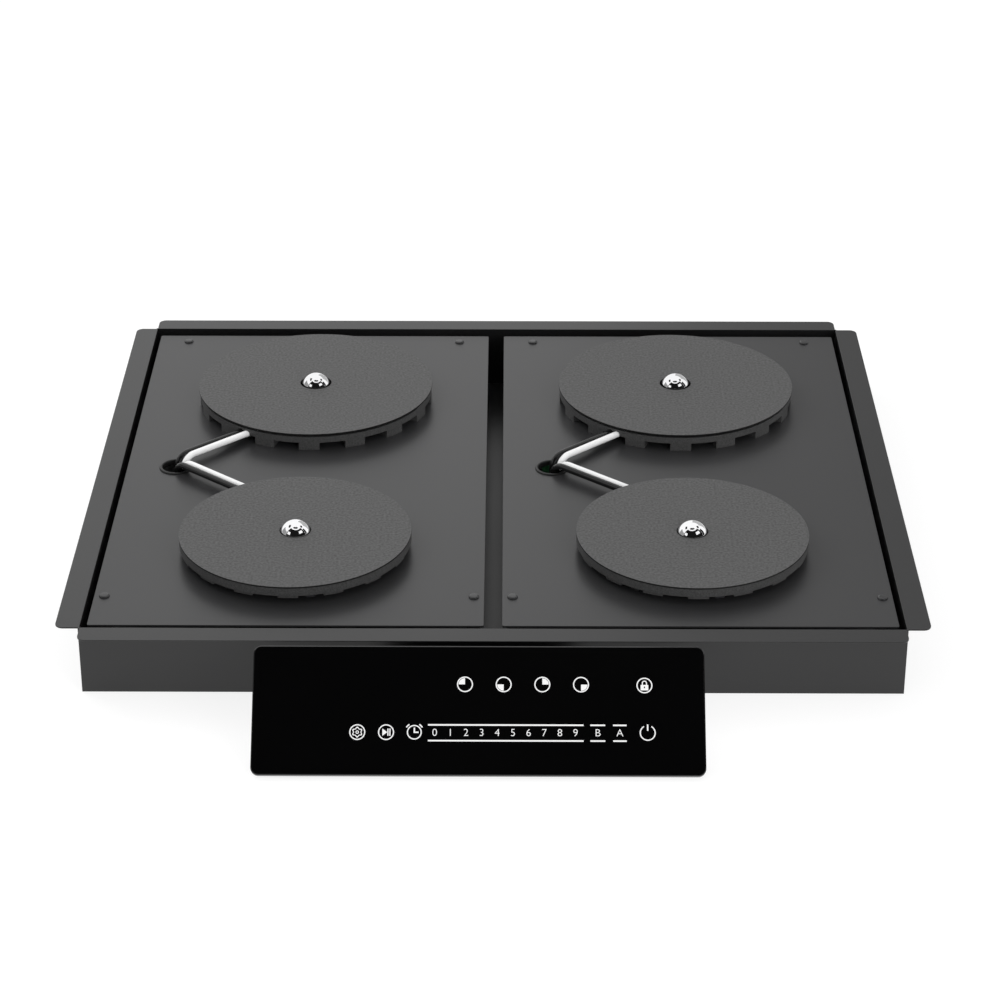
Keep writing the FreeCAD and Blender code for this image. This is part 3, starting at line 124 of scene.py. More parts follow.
def grained(name, color, roughness, grain_scale, speckle, cloud, bump, edge, specular=0.5, metallic=0.0):
    """Material with a fine grain; grain_scale is per metre, and edge is how round edges seem to be."""
    material = bpy.data.materials.new(name)
    material.use_nodes = True
    nodes, links = material.node_tree.nodes, material.node_tree.links
    shader = nodes["Principled BSDF"]
    shader.inputs["Specular IOR Level"].default_value = specular
    shader.inputs["Metallic"].default_value = metallic
    grain = nodes.new("ShaderNodeGroup")
    grain.node_tree = FINE_GRAIN
    grain.inputs["Color"].default_value = (*color, 1)
    grain.inputs["Roughness"].default_value = roughness
    grain.inputs["Grain scale"].default_value = grain_scale
    grain.inputs["Speckle"].default_value = speckle
    grain.inputs["Cloud"].default_value = cloud
    rounding = nodes.new("ShaderNodeBevel")
    rounding.inputs["Radius"].default_value = edge
    relief = nodes.new("ShaderNodeBump")
    relief.inputs["Strength"].default_value = bump
    relief.inputs["Distance"].default_value = GRAIN_DEPTH
    links.new(grain.outputs["Color"], shader.inputs["Base Color"])
    links.new(grain.outputs["Roughness"], shader.inputs["Roughness"])
    links.new(grain.outputs["Height"], relief.inputs["Height"])
    links.new(rounding.outputs["Normal"], relief.inputs["Normal"])
    links.new(relief.outputs["Normal"], shader.inputs["Normal"])
    return material


def paint(material, *names):
    """Give CAD nodes a material."""
    for name in names:
        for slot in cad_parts[name].material_slots:
            slot.material = material


tray_coat = grained("tray_coat", (0.010, 0.010, 0.0104), roughness=0.34, grain_scale=1500, speckle=0.25,
                    cloud=0.1, bump=0.04, edge=0.0006, specular=0.6)
paint(tray_coat, "tray_floor", *[f"tray_wall_{wall}" for wall in ("left", "right", "front", "rear")])

# Pillars: zinc-plated steel posts spot-welded to the tray floor, with a screw hole in the top for the decks.
# The screws that hold the touch panel's bracket have the same bright plating.
zinc = grained("zinc_plating", (0.55, 0.55, 0.53), roughness=0.32, grain_scale=900, speckle=0.3,
               cloud=0.4, bump=0.05, edge=0.0004, metallic=1.0)
paint(zinc, "deck_standoffs", "bracket_screws")

# Power boards: glass-fibre circuit boards with a green solder mask over copper tracks, on nylon spacers.
# The board behind the touch glass is made the same way.
SIDES = ("left", "right")
MASK_GREEN = (0.012, 0.07, 0.028)
MASK_PALER = (0.016, 0.085, 0.034)
TRACK_GREEN = (0.05, 0.18, 0.07)
TRACKS_PER_METRE = 55
TRACK_SHARE = 0.035


def recolor(material, color):
    """Let a socket give a grained material its colour."""
    grain = next(node for node in material.node_tree.nodes if node.type == "GROUP")
    material.node_tree.links.new(color, grain.inputs["Color"])


solder_mask = grained("solder_mask", MASK_GREEN, roughness=0.3, grain_scale=2500, speckle=0.15,
                      cloud=0.2, bump=0.03, edge=0.0003)
nodes, links = solder_mask.node_tree.nodes, solder_mask.node_tree.links
place = nodes.new("ShaderNodeTexCoord")
tracks = nodes.new("ShaderNodeTexBrick")
tracks.inputs["Scale"].default_value = TRACKS_PER_METRE
tracks.inputs["Mortar Size"].default_value = TRACK_SHARE
tracks.inputs["Color1"].default_value = (*MASK_GREEN, 1)
tracks.inputs["Color2"].default_value = (*MASK_PALER, 1)
tracks.inputs["Mortar"].default_value = (*TRACK_GREEN, 1)
links.new(place.outputs["Object"], tracks.inputs["Vector"])
recolor(solder_mask, tracks.outputs["Color"])
paint(solder_mask, *[f"power_board_{side}" for side in SIDES], "touch_board")
nylon = grained("nylon", (0.72, 0.71, 0.68), roughness=0.45, grain_scale=700, speckle=0.06,
                cloud=0.1, bump=0.05, edge=0.0004)
paint(nylon, "board_spacers")

# Heat sinks: bare aluminium with upright fins, to take the heat off the boards' power switches.
# They are extruded, cut to length and screwed to the boards.
sink_metal = grained("sink_aluminium", (0.62, 0.62, 0.63), roughness=0.35, grain_scale=300, speckle=0.25,
                     cloud=0.2, bump=0.2, edge=0.0003, metallic=1.0)
paint(sink_metal, "heat_sinks")

# Capacitors and chokes: film capacitors in grey potted cases, and filter chokes with sintered ferrite cores,
# all soldered to the boards. The ferrite bars under the coils are the same dull black ceramic.
COILS = [(kind, side) for side in SIDES for kind in ("rear", "front")]


def of_each_coil(piece):
    """Names of the four CAD nodes that are the same piece of each coil."""
    return [f"{piece}_{kind}_{side}" for kind, side in COILS]


potting = grained("capacitor_case", (0.3, 0.3, 0.28), roughness=0.35, grain_scale=600, speckle=0.08,
                  cloud=0.12, bump=0.06, edge=0.0006)
paint(potting, "film_capacitors")
ferrite = grained("ferrite", (0.03, 0.03, 0.033), roughness=0.6, grain_scale=1200, speckle=0.4,
                  cloud=0.3, bump=0.25, edge=0.0005)
paint(ferrite, "filter_chokes", *of_each_coil("ferrite_bars"))

# Mains inlet: a pale moulded terminal block on the tray floor, and a black nylon gland that clamps the cable.
# The gland is pushed through the rear wall and held by its lock nut.
terminal = grained("terminal_plastic", (0.6, 0.57, 0.5), roughness=0.5, grain_scale=800, speckle=0.08,
                   cloud=0.1, bump=0.08, edge=0.0006)
paint(terminal, "terminal_block")
gland_nylon = grained("gland_nylon", (0.02, 0.02, 0.021), roughness=0.42, grain_scale=900, speckle=0.2,
                      cloud=0.15, bump=0.1, edge=0.0006)
paint(gland_nylon, "cable_gland")

# Fans: glass-filled black frames fixed to the tray floor over its grilles, with smoother rotors on a shaft.
# They draw cool air in from below and blow it over the boards.
fan_frame = grained("fan_frame_plastic", (0.016, 0.016, 0.017), roughness=0.55, grain_scale=1100, speckle=0.3,
                    cloud=0.15, bump=0.15, edge=0.0006)
paint(fan_frame, *[f"fan_frame_{side}" for side in SIDES])
fan_rotor = grained("fan_rotor_plastic", (0.02, 0.02, 0.021), roughness=0.38, grain_scale=500, speckle=0.1,
                    cloud=0.15, bump=0.05, edge=0.0005)
paint(fan_rotor, *[f"fan_rotor_{side}" for side in SIDES])

# Decks: flat sheet-metal plates with the tray's kind of coat, one for each side, screwed down on the pillars.
# They carry the coils, and have holes for the sensor cups, the grommets and the screws.
deck_coat = grained("deck_coat", (0.030, 0.030, 0.031), roughness=0.32, grain_scale=1500, speckle=0.2,
                    cloud=0.12, bump=0.04, edge=0.0005, specular=0.47)
paint(deck_coat, *[f"deck_{side}" for side in SIDES])

# Deck screws: steel screws with a pan head that has a round edge, painted like the decks and glossier.
# They go through the decks' corners into the pillars.
HEAD_RADIUS = 0.004
HEAD_RISE = 0.0016
SHANK_RADIUS = 0.002
SCREW_TURNS = 32
EDGE_STEPS = 8
REAR_SCREW = Vector((0.0254, 0.0126))
FRONT_SCREW = Vector((0.0076, 0.0420))
SHARP_ANGLE = math.radians(35)
MERGE = 1e-6
scene = bpy.context.scene


def add_piece(name, bm, material, body, *stands_for):
    """Turn a bmesh into a smooth-shaded object that rides a body and stands for CAD nodes."""
    mesh = bpy.data.meshes.new(name)
    bm.to_mesh(mesh)
    bm.free()
    mesh.shade_smooth()
    mesh.set_sharp_from_angle(angle=SHARP_ANGLE)
    mesh.materials.append(material)
    piece = bpy.data.objects.new(name, mesh)
    scene.collection.objects.link(piece)
    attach(piece, body)
    if stands_for:
        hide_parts(*stands_for)
    return piece


def turned(bm, profile, steps, centre):
    """Spin a closed half section of (radius, height) pairs about an upright axis through a point."""
    verts = [bm.verts.new((centre.x + radius, centre.y, centre.z + height)) for radius, height in profile]
    edges = [bm.edges.new(pair) for pair in zip(verts, verts[1:] + verts[:1])]
    bmesh.ops.spin(bm, geom=verts + edges, cent=centre, axis=(0, 0, 1), angle=math.tau, steps=steps,
                   use_merge=True)
    bmesh.ops.remove_doubles(bm, verts=bm.verts, dist=MERGE)
    bmesh.ops.recalc_face_normals(bm, faces=bm.faces)


def sweep(angle, steps):
    """Angles from nought to the given one, in equal steps."""
    return [angle * step / steps for step in range(steps + 1)]


deck_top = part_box("deck_left")[1].z
screw_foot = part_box("deck_screws")[0].z - deck_top
round_edge = [(HEAD_RADIUS - HEAD_RISE * (1 - math.sin(turn)), HEAD_RISE * math.cos(turn))
              for turn in sweep(math.pi / 2, EDGE_STEPS)]
screw = [(0, HEAD_RISE)] + round_edge + [(SHANK_RADIUS, 0), (SHANK_RADIUS, screw_foot), (0, screw_foot)]
bm = bmesh.new()
for side in SIDES:
    low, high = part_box(f"deck_{side}")
    for x, x_in in ((low.x, 1), (high.x, -1)):
        for y, y_in, inset in ((high.y, -1, REAR_SCREW), (low.y, 1, FRONT_SCREW)):
            turned(bm, screw, SCREW_TURNS, Vector((x + x_in * inset.x, y + y_in * inset.y, deck_top)))
screw_paint = grained("screw_paint", (0.030, 0.030, 0.031), roughness=0.10, grain_scale=900, speckle=0.2,
                      cloud=0.2, bump=0.02, edge=0.0002)
screws = add_piece("deck_screw_set", bm, screw_paint, "cooktop", "deck_screws")

# Grommets: soft black rubber rings, so that the coil wires don't chafe on the sheet.
# Each is pressed into a deck's hole, which grips its neck, and has a round lip on top.
GROMMET_BORE = 0.0108
GROMMET_LIP = 0.0134
GROMMET_NECK = 0.0117
GROMMET_TURNS = 64
GROMMET_STEPS = 10
grommets_low, grommets_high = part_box("grommets")
hole_y = (grommets_low.y + grommets_high.y) / 2
LEAD_HOLES = {"left": Vector((grommets_low.x + GROMMET_LIP, hole_y, deck_top)),
              "right": Vector((grommets_high.x - GROMMET_LIP, hole_y, deck_top))}
bead = (GROMMET_LIP - GROMMET_BORE) / 2
rise = grommets_high.z - deck_top
tail = grommets_low.z - deck_top
deck_sheet = deck_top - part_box("deck_left")[0].z
round_lip = [(GROMMET_BORE + bead + bead * math.cos(turn), rise - bead + bead * math.sin(turn))
             for turn in sweep(math.pi, GROMMET_STEPS)]
grommet = [(GROMMET_BORE, tail), (GROMMET_LIP, tail), (GROMMET_LIP, -deck_sheet), (GROMMET_NECK, -deck_sheet),
           (GROMMET_NECK, 0), (GROMMET_LIP, 0)] + round_lip
bm = bmesh.new()
for hole in LEAD_HOLES.values():
    turned(bm, grommet, GROMMET_TURNS, hole)
rubber = grained("grommet_rubber", (0.014, 0.014, 0.014), roughness=0.42, grain_scale=1600, speckle=0.25,
                 cloud=0.2, bump=0.1, edge=0.0004)
rings = add_piece("grommet_rings", bm, rubber, "cooktop", "grommets")

# Coil carriers: dark glass-filled mouldings with a ribbed underside, clamped to the deck by the sensor cups.
# Mica-filled discs with a fine sandy grain cover the windings; their edges are coloured near-black as painted
# shade, the dark line between disc and rim.
# The hub's lip, which shows as a ring round each dome, is coloured near-black as painted shade for the deep
# gap there, and the front rims have a skirt.
CARRIER_GREY = 0.06
HUB_PAINTED_SHADE = 0.002
HUB_RADIUS = 0.0135
MICA_GREY = 0.083
MICA_EDGE_SHADE = 0.012
UPWARD = 0.5
RIM_SETBACK = 0.0008
SKIRT_HEIGHT = 0.0064
SKIRT_PLAY = 0.0001
SKIRT_TURNS = 128


def two_tone(material, measure, limit, under, over):
    """Give a grained material one grey where a measure is under its limit, and another where it is over."""
    tree = material.node_tree
    tint = tree.nodes.new("ShaderNodeMix")
    tint.data_type = "RGBA"
    tint.inputs["A"].default_value = (under, under, under, 1)
    tint.inputs["B"].default_value = (over, over, over, 1)
    tree.links.new(reckon(tree, "GREATER_THAN", measure, limit), tint.inputs["Factor"])
    recolor(material, tint.outputs["Result"])


for kind, side in COILS:
    low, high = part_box(f"coil_carrier_{kind}_{side}")
    carrier = grained(f"carrier_plastic_{kind}_{side}", (CARRIER_GREY,) * 3, roughness=0.42, grain_scale=900,
                      speckle=1.6, cloud=0.15, bump=0.2, edge=0.0005)
    nodes, links = carrier.node_tree.nodes, carrier.node_tree.links
    place = nodes.new("ShaderNodeTexCoord")
    arm = nodes.new("ShaderNodeVectorMath")
    arm.operation = "SUBTRACT"
    arm.inputs[1].default_value = (low + high) / 2
    flat = nodes.new("ShaderNodeVectorMath")
    flat.operation = "MULTIPLY"
    flat.inputs[1].default_value = (1, 1, 0)
    radius = nodes.new("ShaderNodeVectorMath")
    radius.operation = "LENGTH"
    links.new(place.outputs["Object"], arm.inputs[0])
    links.new(arm.outputs["Vector"], flat.inputs[0])
    links.new(flat.outputs["Vector"], radius.inputs[0])
    # Painted shade: the carrier is near-black within the hub's radius, where the gap round the dome lies in
    # shadow.
    two_tone(carrier, radius.outputs["Value"], HUB_RADIUS, HUB_PAINTED_SHADE, CARRIER_GREY)
    paint(carrier, f"coil_carrier_{kind}_{side}")
    if kind == "front":
        low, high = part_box(f"coil_cover_{kind}_{side}")
        inside = (high.x - low.x) / 2 - RIM_SETBACK
        outside = (high.x - low.x) / 2 - SKIRT_PLAY
        bm = bmesh.new()
        turned(bm, [(outside, 0), (outside, -SKIRT_HEIGHT), (inside, -SKIRT_HEIGHT), (inside, 0)],
               SKIRT_TURNS, Vector(((low.x + high.x) / 2, (low.y + high.y) / 2, low.z - SKIRT_PLAY)))
        skirt = add_piece(f"rim_skirt_{kind}_{side}", bm, carrier, "cooktop")
mica = grained("mica_disc", (MICA_GREY,) * 3, roughness=0.6, grain_scale=520, speckle=1.6,
               cloud=0.1, bump=0.25, edge=0.0004, specular=0.4)
nodes, links = mica.node_tree.nodes, mica.node_tree.links
facing = nodes.new("ShaderNodeNewGeometry")
slope = nodes.new("ShaderNodeSeparateXYZ")
links.new(facing.outputs["True Normal"], slope.inputs[0])
# Painted shade: every face of the discs that doesn't face up is near-black.
two_tone(mica, slope.outputs["Z"], UPWARD, MICA_EDGE_SHADE, MICA_GREY)
paint(mica, *of_each_coil("coil_cover"))

# Windings: flat spirals of stranded copper wire, which heat the pan by induction.
# They are wound in one layer, varnished and bonded to the carriers.
copper = grained("litz_copper", (0.55, 0.22, 0.11), roughness=0.38, grain_scale=700, speckle=0.7,
                 cloud=0.3, bump=0.5, edge=0.0004, metallic=1.0)
paint(copper, *of_each_coil("coil_winding"))

# Coil leads: a white and a black sleeved wire for each coil, soldered to the power board below.
# They rise through the grommet, bend once and run level through the carrier's rim.
# Below the grommet's lip the white sleeves are coloured black, painted shade that keeps the hole dark.
LEAD_WHITE = 0.93
LEAD_BLACK_AND_HOLE_SHADE = 0.006
LEAD_RADIUS = 0.00265
LEAD_SHIFT = 0.0059
LEAD_SPACING = 0.0056
LEAD_BEND = 0.0105
LEAD_ENTRY = {"rear": math.radians(122.4), "front": math.radians(116.3)}
LEAD_REACH = 0.010
LEAD_SEGMENTS = 32
LEAD_STEPS = 16
RETURN_SETBACK = 0.0021


def only(kind, geom):
    """The verts, the edges or the faces among what an operator gives back."""
    return [item for item in geom if isinstance(item, kind)]


def run_on(bm, ring, step):
    """Draw an open tube end out along a straight step."""
    made = bmesh.ops.extrude_edge_only(bm, edges=only(bmesh.types.BMEdge, ring))["geom"]
    verts = only(bmesh.types.BMVert, made)
    bmesh.ops.translate(bm, verts=verts, vec=step)
    return verts + [edge for edge in only(bmesh.types.BMEdge, made) if set(edge.verts) <= set(verts)]


def sleeved_wire(bm, foot, level, heading, length):
    """Tube that rises from a foot, bends towards a heading and runs on level for a length."""
    known = len(bm.verts)
    bmesh.ops.create_circle(bm, segments=LEAD_SEGMENTS, radius=LEAD_RADIUS, matrix=Matrix.Translation(foot))
    bm.verts.ensure_lookup_table()
    start = bm.verts[known:]
    ring = run_on(bm, start + list({edge for vert in start for edge in vert.link_edges}),
                  (0, 0, level - LEAD_BEND - foot.z))
    bend_centre = Vector((foot.x, foot.y, level - LEAD_BEND)) + heading * LEAD_BEND
    ring = bmesh.ops.spin(bm, geom=ring, cent=bend_centre, axis=Vector((0, 0, 1)).cross(heading),
                          angle=math.pi / 2, steps=LEAD_STEPS)["geom_last"]
    run_on(bm, ring, heading * (length - LEAD_BEND))


def close_ends(bm):
    """Cap the open ends of tubes and turn the faces outwards."""
    bmesh.ops.holes_fill(bm, edges=[edge for edge in bm.edges if edge.is_boundary])
    bmesh.ops.recalc_face_normals(bm, faces=bm.faces)


white_sleeve = grained("white_sleeve", (LEAD_WHITE,) * 3, roughness=0.22, grain_scale=400, speckle=0.03,
                       cloud=0.05, bump=0.01, edge=0.0002)
nodes, links = white_sleeve.node_tree.nodes, white_sleeve.node_tree.links
place = nodes.new("ShaderNodeTexCoord")
height = nodes.new("ShaderNodeSeparateXYZ")
links.new(place.outputs["Object"], height.inputs[0])
# Painted shade: the white sleeve is black below the grommet's lip, down in the hole.
two_tone(white_sleeve, height.outputs["Z"], grommets_high.z, LEAD_BLACK_AND_HOLE_SHADE, LEAD_WHITE)
black_sleeve = grained("black_sleeve", (LEAD_BLACK_AND_HOLE_SHADE,) * 3, roughness=0.2, grain_scale=400, speckle=0.1,
                       cloud=0.2, bump=0.01, edge=0.0002)
for side, hole in LEAD_HOLES.items():
    low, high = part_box(f"coil_leads_{side}")
    level = high.z - LEAD_RADIUS
    live, back = bmesh.new(), bmesh.new()
    for kind, away in (("rear", 1), ("front", -1)):
        cover_low, cover_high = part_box(f"coil_cover_{kind}_{side}")
        coil = (cover_low + cover_high) / 2
        rim = (cover_high.x - cover_low.x) / 2 - RIM_SETBACK
        riser = Vector((hole.x + LEAD_SHIFT, hole.y + away * LEAD_SPACING / 2, level))
        entry = Vector((coil.x + rim * math.cos(LEAD_ENTRY[kind]),
                        coil.y - away * rim * math.sin(LEAD_ENTRY[kind]), level))
        heading = (entry - riser).normalized()
        length = (entry - riser).length + LEAD_REACH
        foot = Vector((riser.x, riser.y, low.z))
        sleeved_wire(live, foot, level, heading, length)
        aside = Vector((-heading.y, heading.x, 0)) * away * LEAD_SPACING - heading * RETURN_SETBACK
        sleeved_wire(back, foot + aside, level, heading, length)
    for name, bm, sleeve, slot in (("coil", live, white_sleeve, "lead_sheath"),
                                   ("return", back, black_sleeve, "return_sheath")):
        close_ends(bm)
        wires = add_piece(f"{name}_wires_{side}", bm, sleeve, "cooktop", f"{name}_leads_{side}")

# Sensor cups and springs: black moulded cups, pushed up through the decks, which clamp deck and carrier.
# Each holds a coil spring of steel wire that lifts its dome and is squashed when a pan presses the dome.
SPRING_TURNS = 4
SPRING_WIRE = 0.0004
SPRING_SIDES = 10
STEPS_PER_TURN = 48
cup_plastic = grained("cup_plastic", (0.008, 0.008, 0.008), roughness=0.6, grain_scale=900, speckle=0.25,
                      cloud=0.15, bump=0.1, edge=0.0004)
paint(cup_plastic, *of_each_coil("sensor_cup"))
spring_steel = grained("spring_steel", (0.5, 0.5, 0.5), roughness=0.3, grain_scale=900, speckle=0.2,
                       cloud=0.3, bump=0.05, edge=0.0002, metallic=1.0)
spring_steps = SPRING_TURNS * STEPS_PER_TURN
for kind, side in COILS:
    low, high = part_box(f"sensor_spring_{kind}_{side}")
    centre = (low + high) / 2
    rise = high.z - low.z - 2 * SPRING_WIRE
    bm = bmesh.new()
    bmesh.ops.create_circle(bm, segments=SPRING_SIDES, radius=SPRING_WIRE,
                            matrix=Matrix.Translation(((high.x - low.x) / 2 - SPRING_WIRE, 0, SPRING_WIRE))
                            @ Matrix.Rotation(math.pi / 2, 4, "X"))
    bmesh.ops.spin(bm, geom=list(bm.verts) + list(bm.edges), cent=(0, 0, 0), axis=(0, 0, 1),
                   dvec=(0, 0, rise / spring_steps), angle=math.tau * SPRING_TURNS, steps=spring_steps)
    close_ends(bm)
    bmesh.ops.translate(bm, verts=bm.verts, vec=(centre.x, centre.y, low.z))
    spring = add_piece(f"spring_coil_{kind}_{side}", bm, spring_steel, "cooktop",
                       f"sensor_spring_{kind}_{side}")
    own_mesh(spring)

# Sensor domes: caps pressed from sheet steel and polished, which a pan pushes down.
# A collar round the foot slides in the cup and stops under the hub's lip.
DOME_RISE = 0.008
DOME_WALL = 0.0012
DOME_RADIUS = 0.0114
DOME_TURNS = 96
COLLAR_HEIGHT = 0.0012
CROWN_STEPS = 16


def crown(radius, top, rise):
    """Section of a low spherical crown as (radius, height) pairs, from its top to its edge."""
    ball = (radius ** 2 + rise ** 2) / (2 * rise)
    reach = math.asin(radius / ball)
    return [(ball * math.sin(turn), top - ball * (1 - math.cos(turn))) for turn in sweep(reach, CROWN_STEPS)]


chrome = grained("polished_dome", (0.93, 0.93, 0.94), roughness=0.04, grain_scale=500, speckle=0.04,
                 cloud=0.3, bump=0.01, edge=0.0001, metallic=1.0)
for kind, side in COILS:
    low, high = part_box(f"sensor_dome_{kind}_{side}")
    collar = (high.x - low.x) / 2
    inside = DOME_RADIUS - DOME_WALL
    height = high.z - low.z
    bm = bmesh.new()
    turned(bm, crown(DOME_RADIUS, height, DOME_RISE)
           + [(DOME_RADIUS, COLLAR_HEIGHT), (collar, COLLAR_HEIGHT), (collar, 0), (inside, 0)]
           + crown(inside, height - DOME_WALL, DOME_RISE - DOME_WALL)[::-1],
           DOME_TURNS, Vector(((low.x + high.x) / 2, (low.y + high.y) / 2, low.z)))
    dome = add_piece(f"dome_cap_{kind}_{side}", bm, chrome, f"sensor_{kind}_{side}",
                     f"sensor_dome_{kind}_{side}")

# Touch panel: a black moulded housing on a folded steel bracket, behind a pane of black glass.
# The pane is printed black from behind, polished in front and ground along its edge.
bracket_coat = grained("bracket_coat", (0.012, 0.012, 0.012), roughness=0.55, grain_scale=1500, speckle=0.25,
                       cloud=0.12, bump=0.1, edge=0.0006)
paint(bracket_coat, "control_bracket")
housing = grained("housing_plastic", (0.012, 0.012, 0.0125), roughness=0.5, grain_scale=1300, speckle=0.3,
                  cloud=0.1, bump=0.15, edge=0.0008)
paint(housing, "control_housing")
glass = grained("panel_glass", (0.0015, 0.0015, 0.0016), roughness=0.06, grain_scale=40, speckle=0.1,
                cloud=0.4, bump=0.0, edge=0.0004)
paint(glass, "control_glass")

# Panel markings: white windows in the print behind the glass, lit by lamps on the touch board.
# They lie on the pane's slope, measured in metres from the middle of its lower front edge.
GLASS_HEIGHT = 0.0927
GLASS_SHEET = 0.004
PANEL_TILT = math.radians(45)
PRINT_SHEET = 0.00006
PRINT_GLOW = 0.45
UPPER_ROW = 0.0650
LOWER_ROW = 0.0306
BADGE_RADIUS = 0.0056
BADGE_LINE = 0.0008
RING_SEGMENTS = 48
marks = bmesh.new()


def loop(x, y, radius, shape):
    """Closed loop of edges round a point; shape scales the radius at each angle."""
    made = bmesh.ops.create_circle(marks, segments=RING_SEGMENTS, radius=radius,
                                   matrix=Matrix.Translation((x, y, 0)))
    for vert in made["verts"]:
        arm = vert.co - Vector((x, y, 0))
        vert.co = Vector((x, y, 0)) + arm * shape(math.atan2(arm.y, arm.x))
    return list({edge for vert in made["verts"] for edge in vert.link_edges})


def band(x, y, radius, line, shape=lambda turn: 1):
    """Ring of one line's width inside a radius."""
    edges = loop(x, y, radius, shape) + loop(x, y, radius - line, shape)
    return bmesh.ops.bridge_loops(marks, edges=edges)["faces"]


def disc(x, y, radius):
    """Filled circle."""
    return bmesh.ops.edgeloop_fill(marks, edges=loop(x, y, radius, lambda turn: 1))["faces"]


def slab(corners):
    """Filled outline."""
    marks.faces.new([marks.verts.new((x, y, 0)) for x, y in corners])


def bar(x_low, y_low, x_high, y_high):
    """Filled rectangle."""
    slab([(x_low, y_low), (x_high, y_low), (x_high, y_high), (x_low, y_high)])


def keep_side(faces, x, y, normal):
    """Cut faces along a line through a point and keep the side that normal points to."""
    geom = set(faces)
    for face in faces:
        geom.update(face.verts)
        geom.update(face.edges)
    cut = bmesh.ops.bisect_plane(marks, geom=list(geom), plane_co=(x, y, 0), plane_no=(*normal, 0),
                                 clear_inner=True)["geom"]
    return only(bmesh.types.BMFace, cut)


# The four zones: a ring with the zone's own quarter filled.
ZONE_FIRST = -0.0096
ZONE_PITCH = 0.0271
ZONE_QUARTER = 0.00448
for index, (side_x, side_y) in enumerate(((-1, 1), (-1, -1), (1, 1), (1, -1))):
    x = ZONE_FIRST + index * ZONE_PITCH
    band(x, UPPER_ROW, BADGE_RADIUS, BADGE_LINE)
    half = keep_side(disc(x, UPPER_ROW, ZONE_QUARTER), x, UPPER_ROW, (side_x, 0))
    keep_side(half, x, UPPER_ROW, (0, side_y))

# The lock: a padlock in a ring; its body is a grid of bars round the keyhole.
LOCK = Vector((0.1161, 0.0645))
LOCK_COLUMNS = (-0.0027, -0.0004, 0.0004, 0.0027)
LOCK_ROWS = (-0.0035, -0.0020, -0.0007, 0.0004)
SHACKLE_RISE = 0.0017
SHACKLE_RADIUS = 0.0018
SHACKLE_LINE = 0.0007
band(*LOCK, BADGE_RADIUS, BADGE_LINE)
columns = [LOCK.x + x for x in LOCK_COLUMNS]
rows = [LOCK.y + y for y in LOCK_ROWS]
for left, right in zip(columns, columns[1:]):
    for low, high in zip(rows, rows[1:]):
        keyhole = left == columns[1] and low == rows[1]
        if not keyhole:
            bar(left, low, right, high)
shackle_y = LOCK.y + SHACKLE_RISE
keep_side(band(LOCK.x, shackle_y, SHACKLE_RADIUS, SHACKLE_LINE), LOCK.x, shackle_y, (0, 1))
for x in (LOCK.x - SHACKLE_RADIUS, LOCK.x + SHACKLE_RADIUS - SHACKLE_LINE):
    bar(x, rows[-1], x + SHACKLE_LINE, shackle_y)

# The settings: a gear wheel in a ring.
GEAR_X = -0.0845
GEAR_RADIUS = 0.0034
GEAR_LINE = 0.0008
GEAR_TEETH = 6
TOOTH_DEPTH = 0.15
AXLE_RADIUS = 0.0012
AXLE_LINE = 0.0006
band(GEAR_X, LOWER_ROW, BADGE_RADIUS, BADGE_LINE)
band(GEAR_X, LOWER_ROW, GEAR_RADIUS, GEAR_LINE,
     shape=lambda turn: 1 - TOOTH_DEPTH * math.cos(GEAR_TEETH * turn))
band(GEAR_X, LOWER_ROW, AXLE_RADIUS, AXLE_LINE)

# Start and pause: a triangle and two bars in a ring.
PLAY_X = -0.0644
PLAY_HALF = 0.0026
PLAY_TIP = 0.0008
PAUSE_BARS = (0.0009, 0.0023)
PAUSE_LINE = 0.0008
band(PLAY_X, LOWER_ROW, BADGE_RADIUS, BADGE_LINE)
slab([(PLAY_X - PLAY_HALF, LOWER_ROW - PLAY_HALF), (PLAY_X + PLAY_TIP, LOWER_ROW),
      (PLAY_X - PLAY_HALF, LOWER_ROW + PLAY_HALF)])
for start in PAUSE_BARS:
    bar(PLAY_X + start, LOWER_ROW - PLAY_HALF, PLAY_X + start + PAUSE_LINE, LOWER_ROW + PLAY_HALF)

# The timer: an alarm clock with two hands and two bells.
CLOCK_X = -0.0447
CLOCK_RADIUS = 0.0052
HANDS = ((-0.0005, -0.0005), (0.0030, -0.0005), (0.0030, 0.0005), (0.0005, 0.0005), (0.0005, 0.0033),
         (-0.0005, 0.0033))
BELL_RADIUS = 0.0070
BELL_LINE = 0.0009
BELL_ENDS = (32, 58)
band(CLOCK_X, LOWER_ROW, CLOCK_RADIUS, BADGE_LINE)
slab([(CLOCK_X + x, LOWER_ROW + y) for x, y in HANDS])
for side_x in (-1, 1):
    bell = band(CLOCK_X, LOWER_ROW, BELL_RADIUS, BELL_LINE)
    for degrees, away in zip(BELL_ENDS, (1, -1)):
        end = math.radians(degrees)
        bell = keep_side(bell, CLOCK_X, LOWER_ROW, (-away * side_x * math.sin(end), away * math.cos(end)))

# The power slider: ten figures and two letters between rules.
SLIDER_ROW = 0.0303
SLIDER = (-0.0352, 0.0733)
SLIDER_HALF = 0.0056
RULE_LINE = 0.0011
DIGIT_FIRST = -0.0305
DIGIT_PITCH = 0.01091
DIGIT_SIZE = 0.0075
THINNER = 0.00007
LETTERS = (("B", 0.0832, 0.0052), ("A", 0.0986, 0.0047))


def lettering(text, x):
    """One printed figure, centred on the slider's row."""
    curve = bpy.data.curves.new("figure", "FONT")
    curve.body = text
    curve.size = DIGIT_SIZE
    curve.offset = -THINNER
    curve.align_x = "CENTER"
    curve.align_y = "CENTER"
    holder = bpy.data.objects.new("figure", curve)
    mesh = bpy.data.meshes.new_from_object(holder)
    mesh.transform(Matrix.Translation((x, SLIDER_ROW, 0)))
    marks.from_mesh(mesh)
    bpy.data.objects.remove(holder)


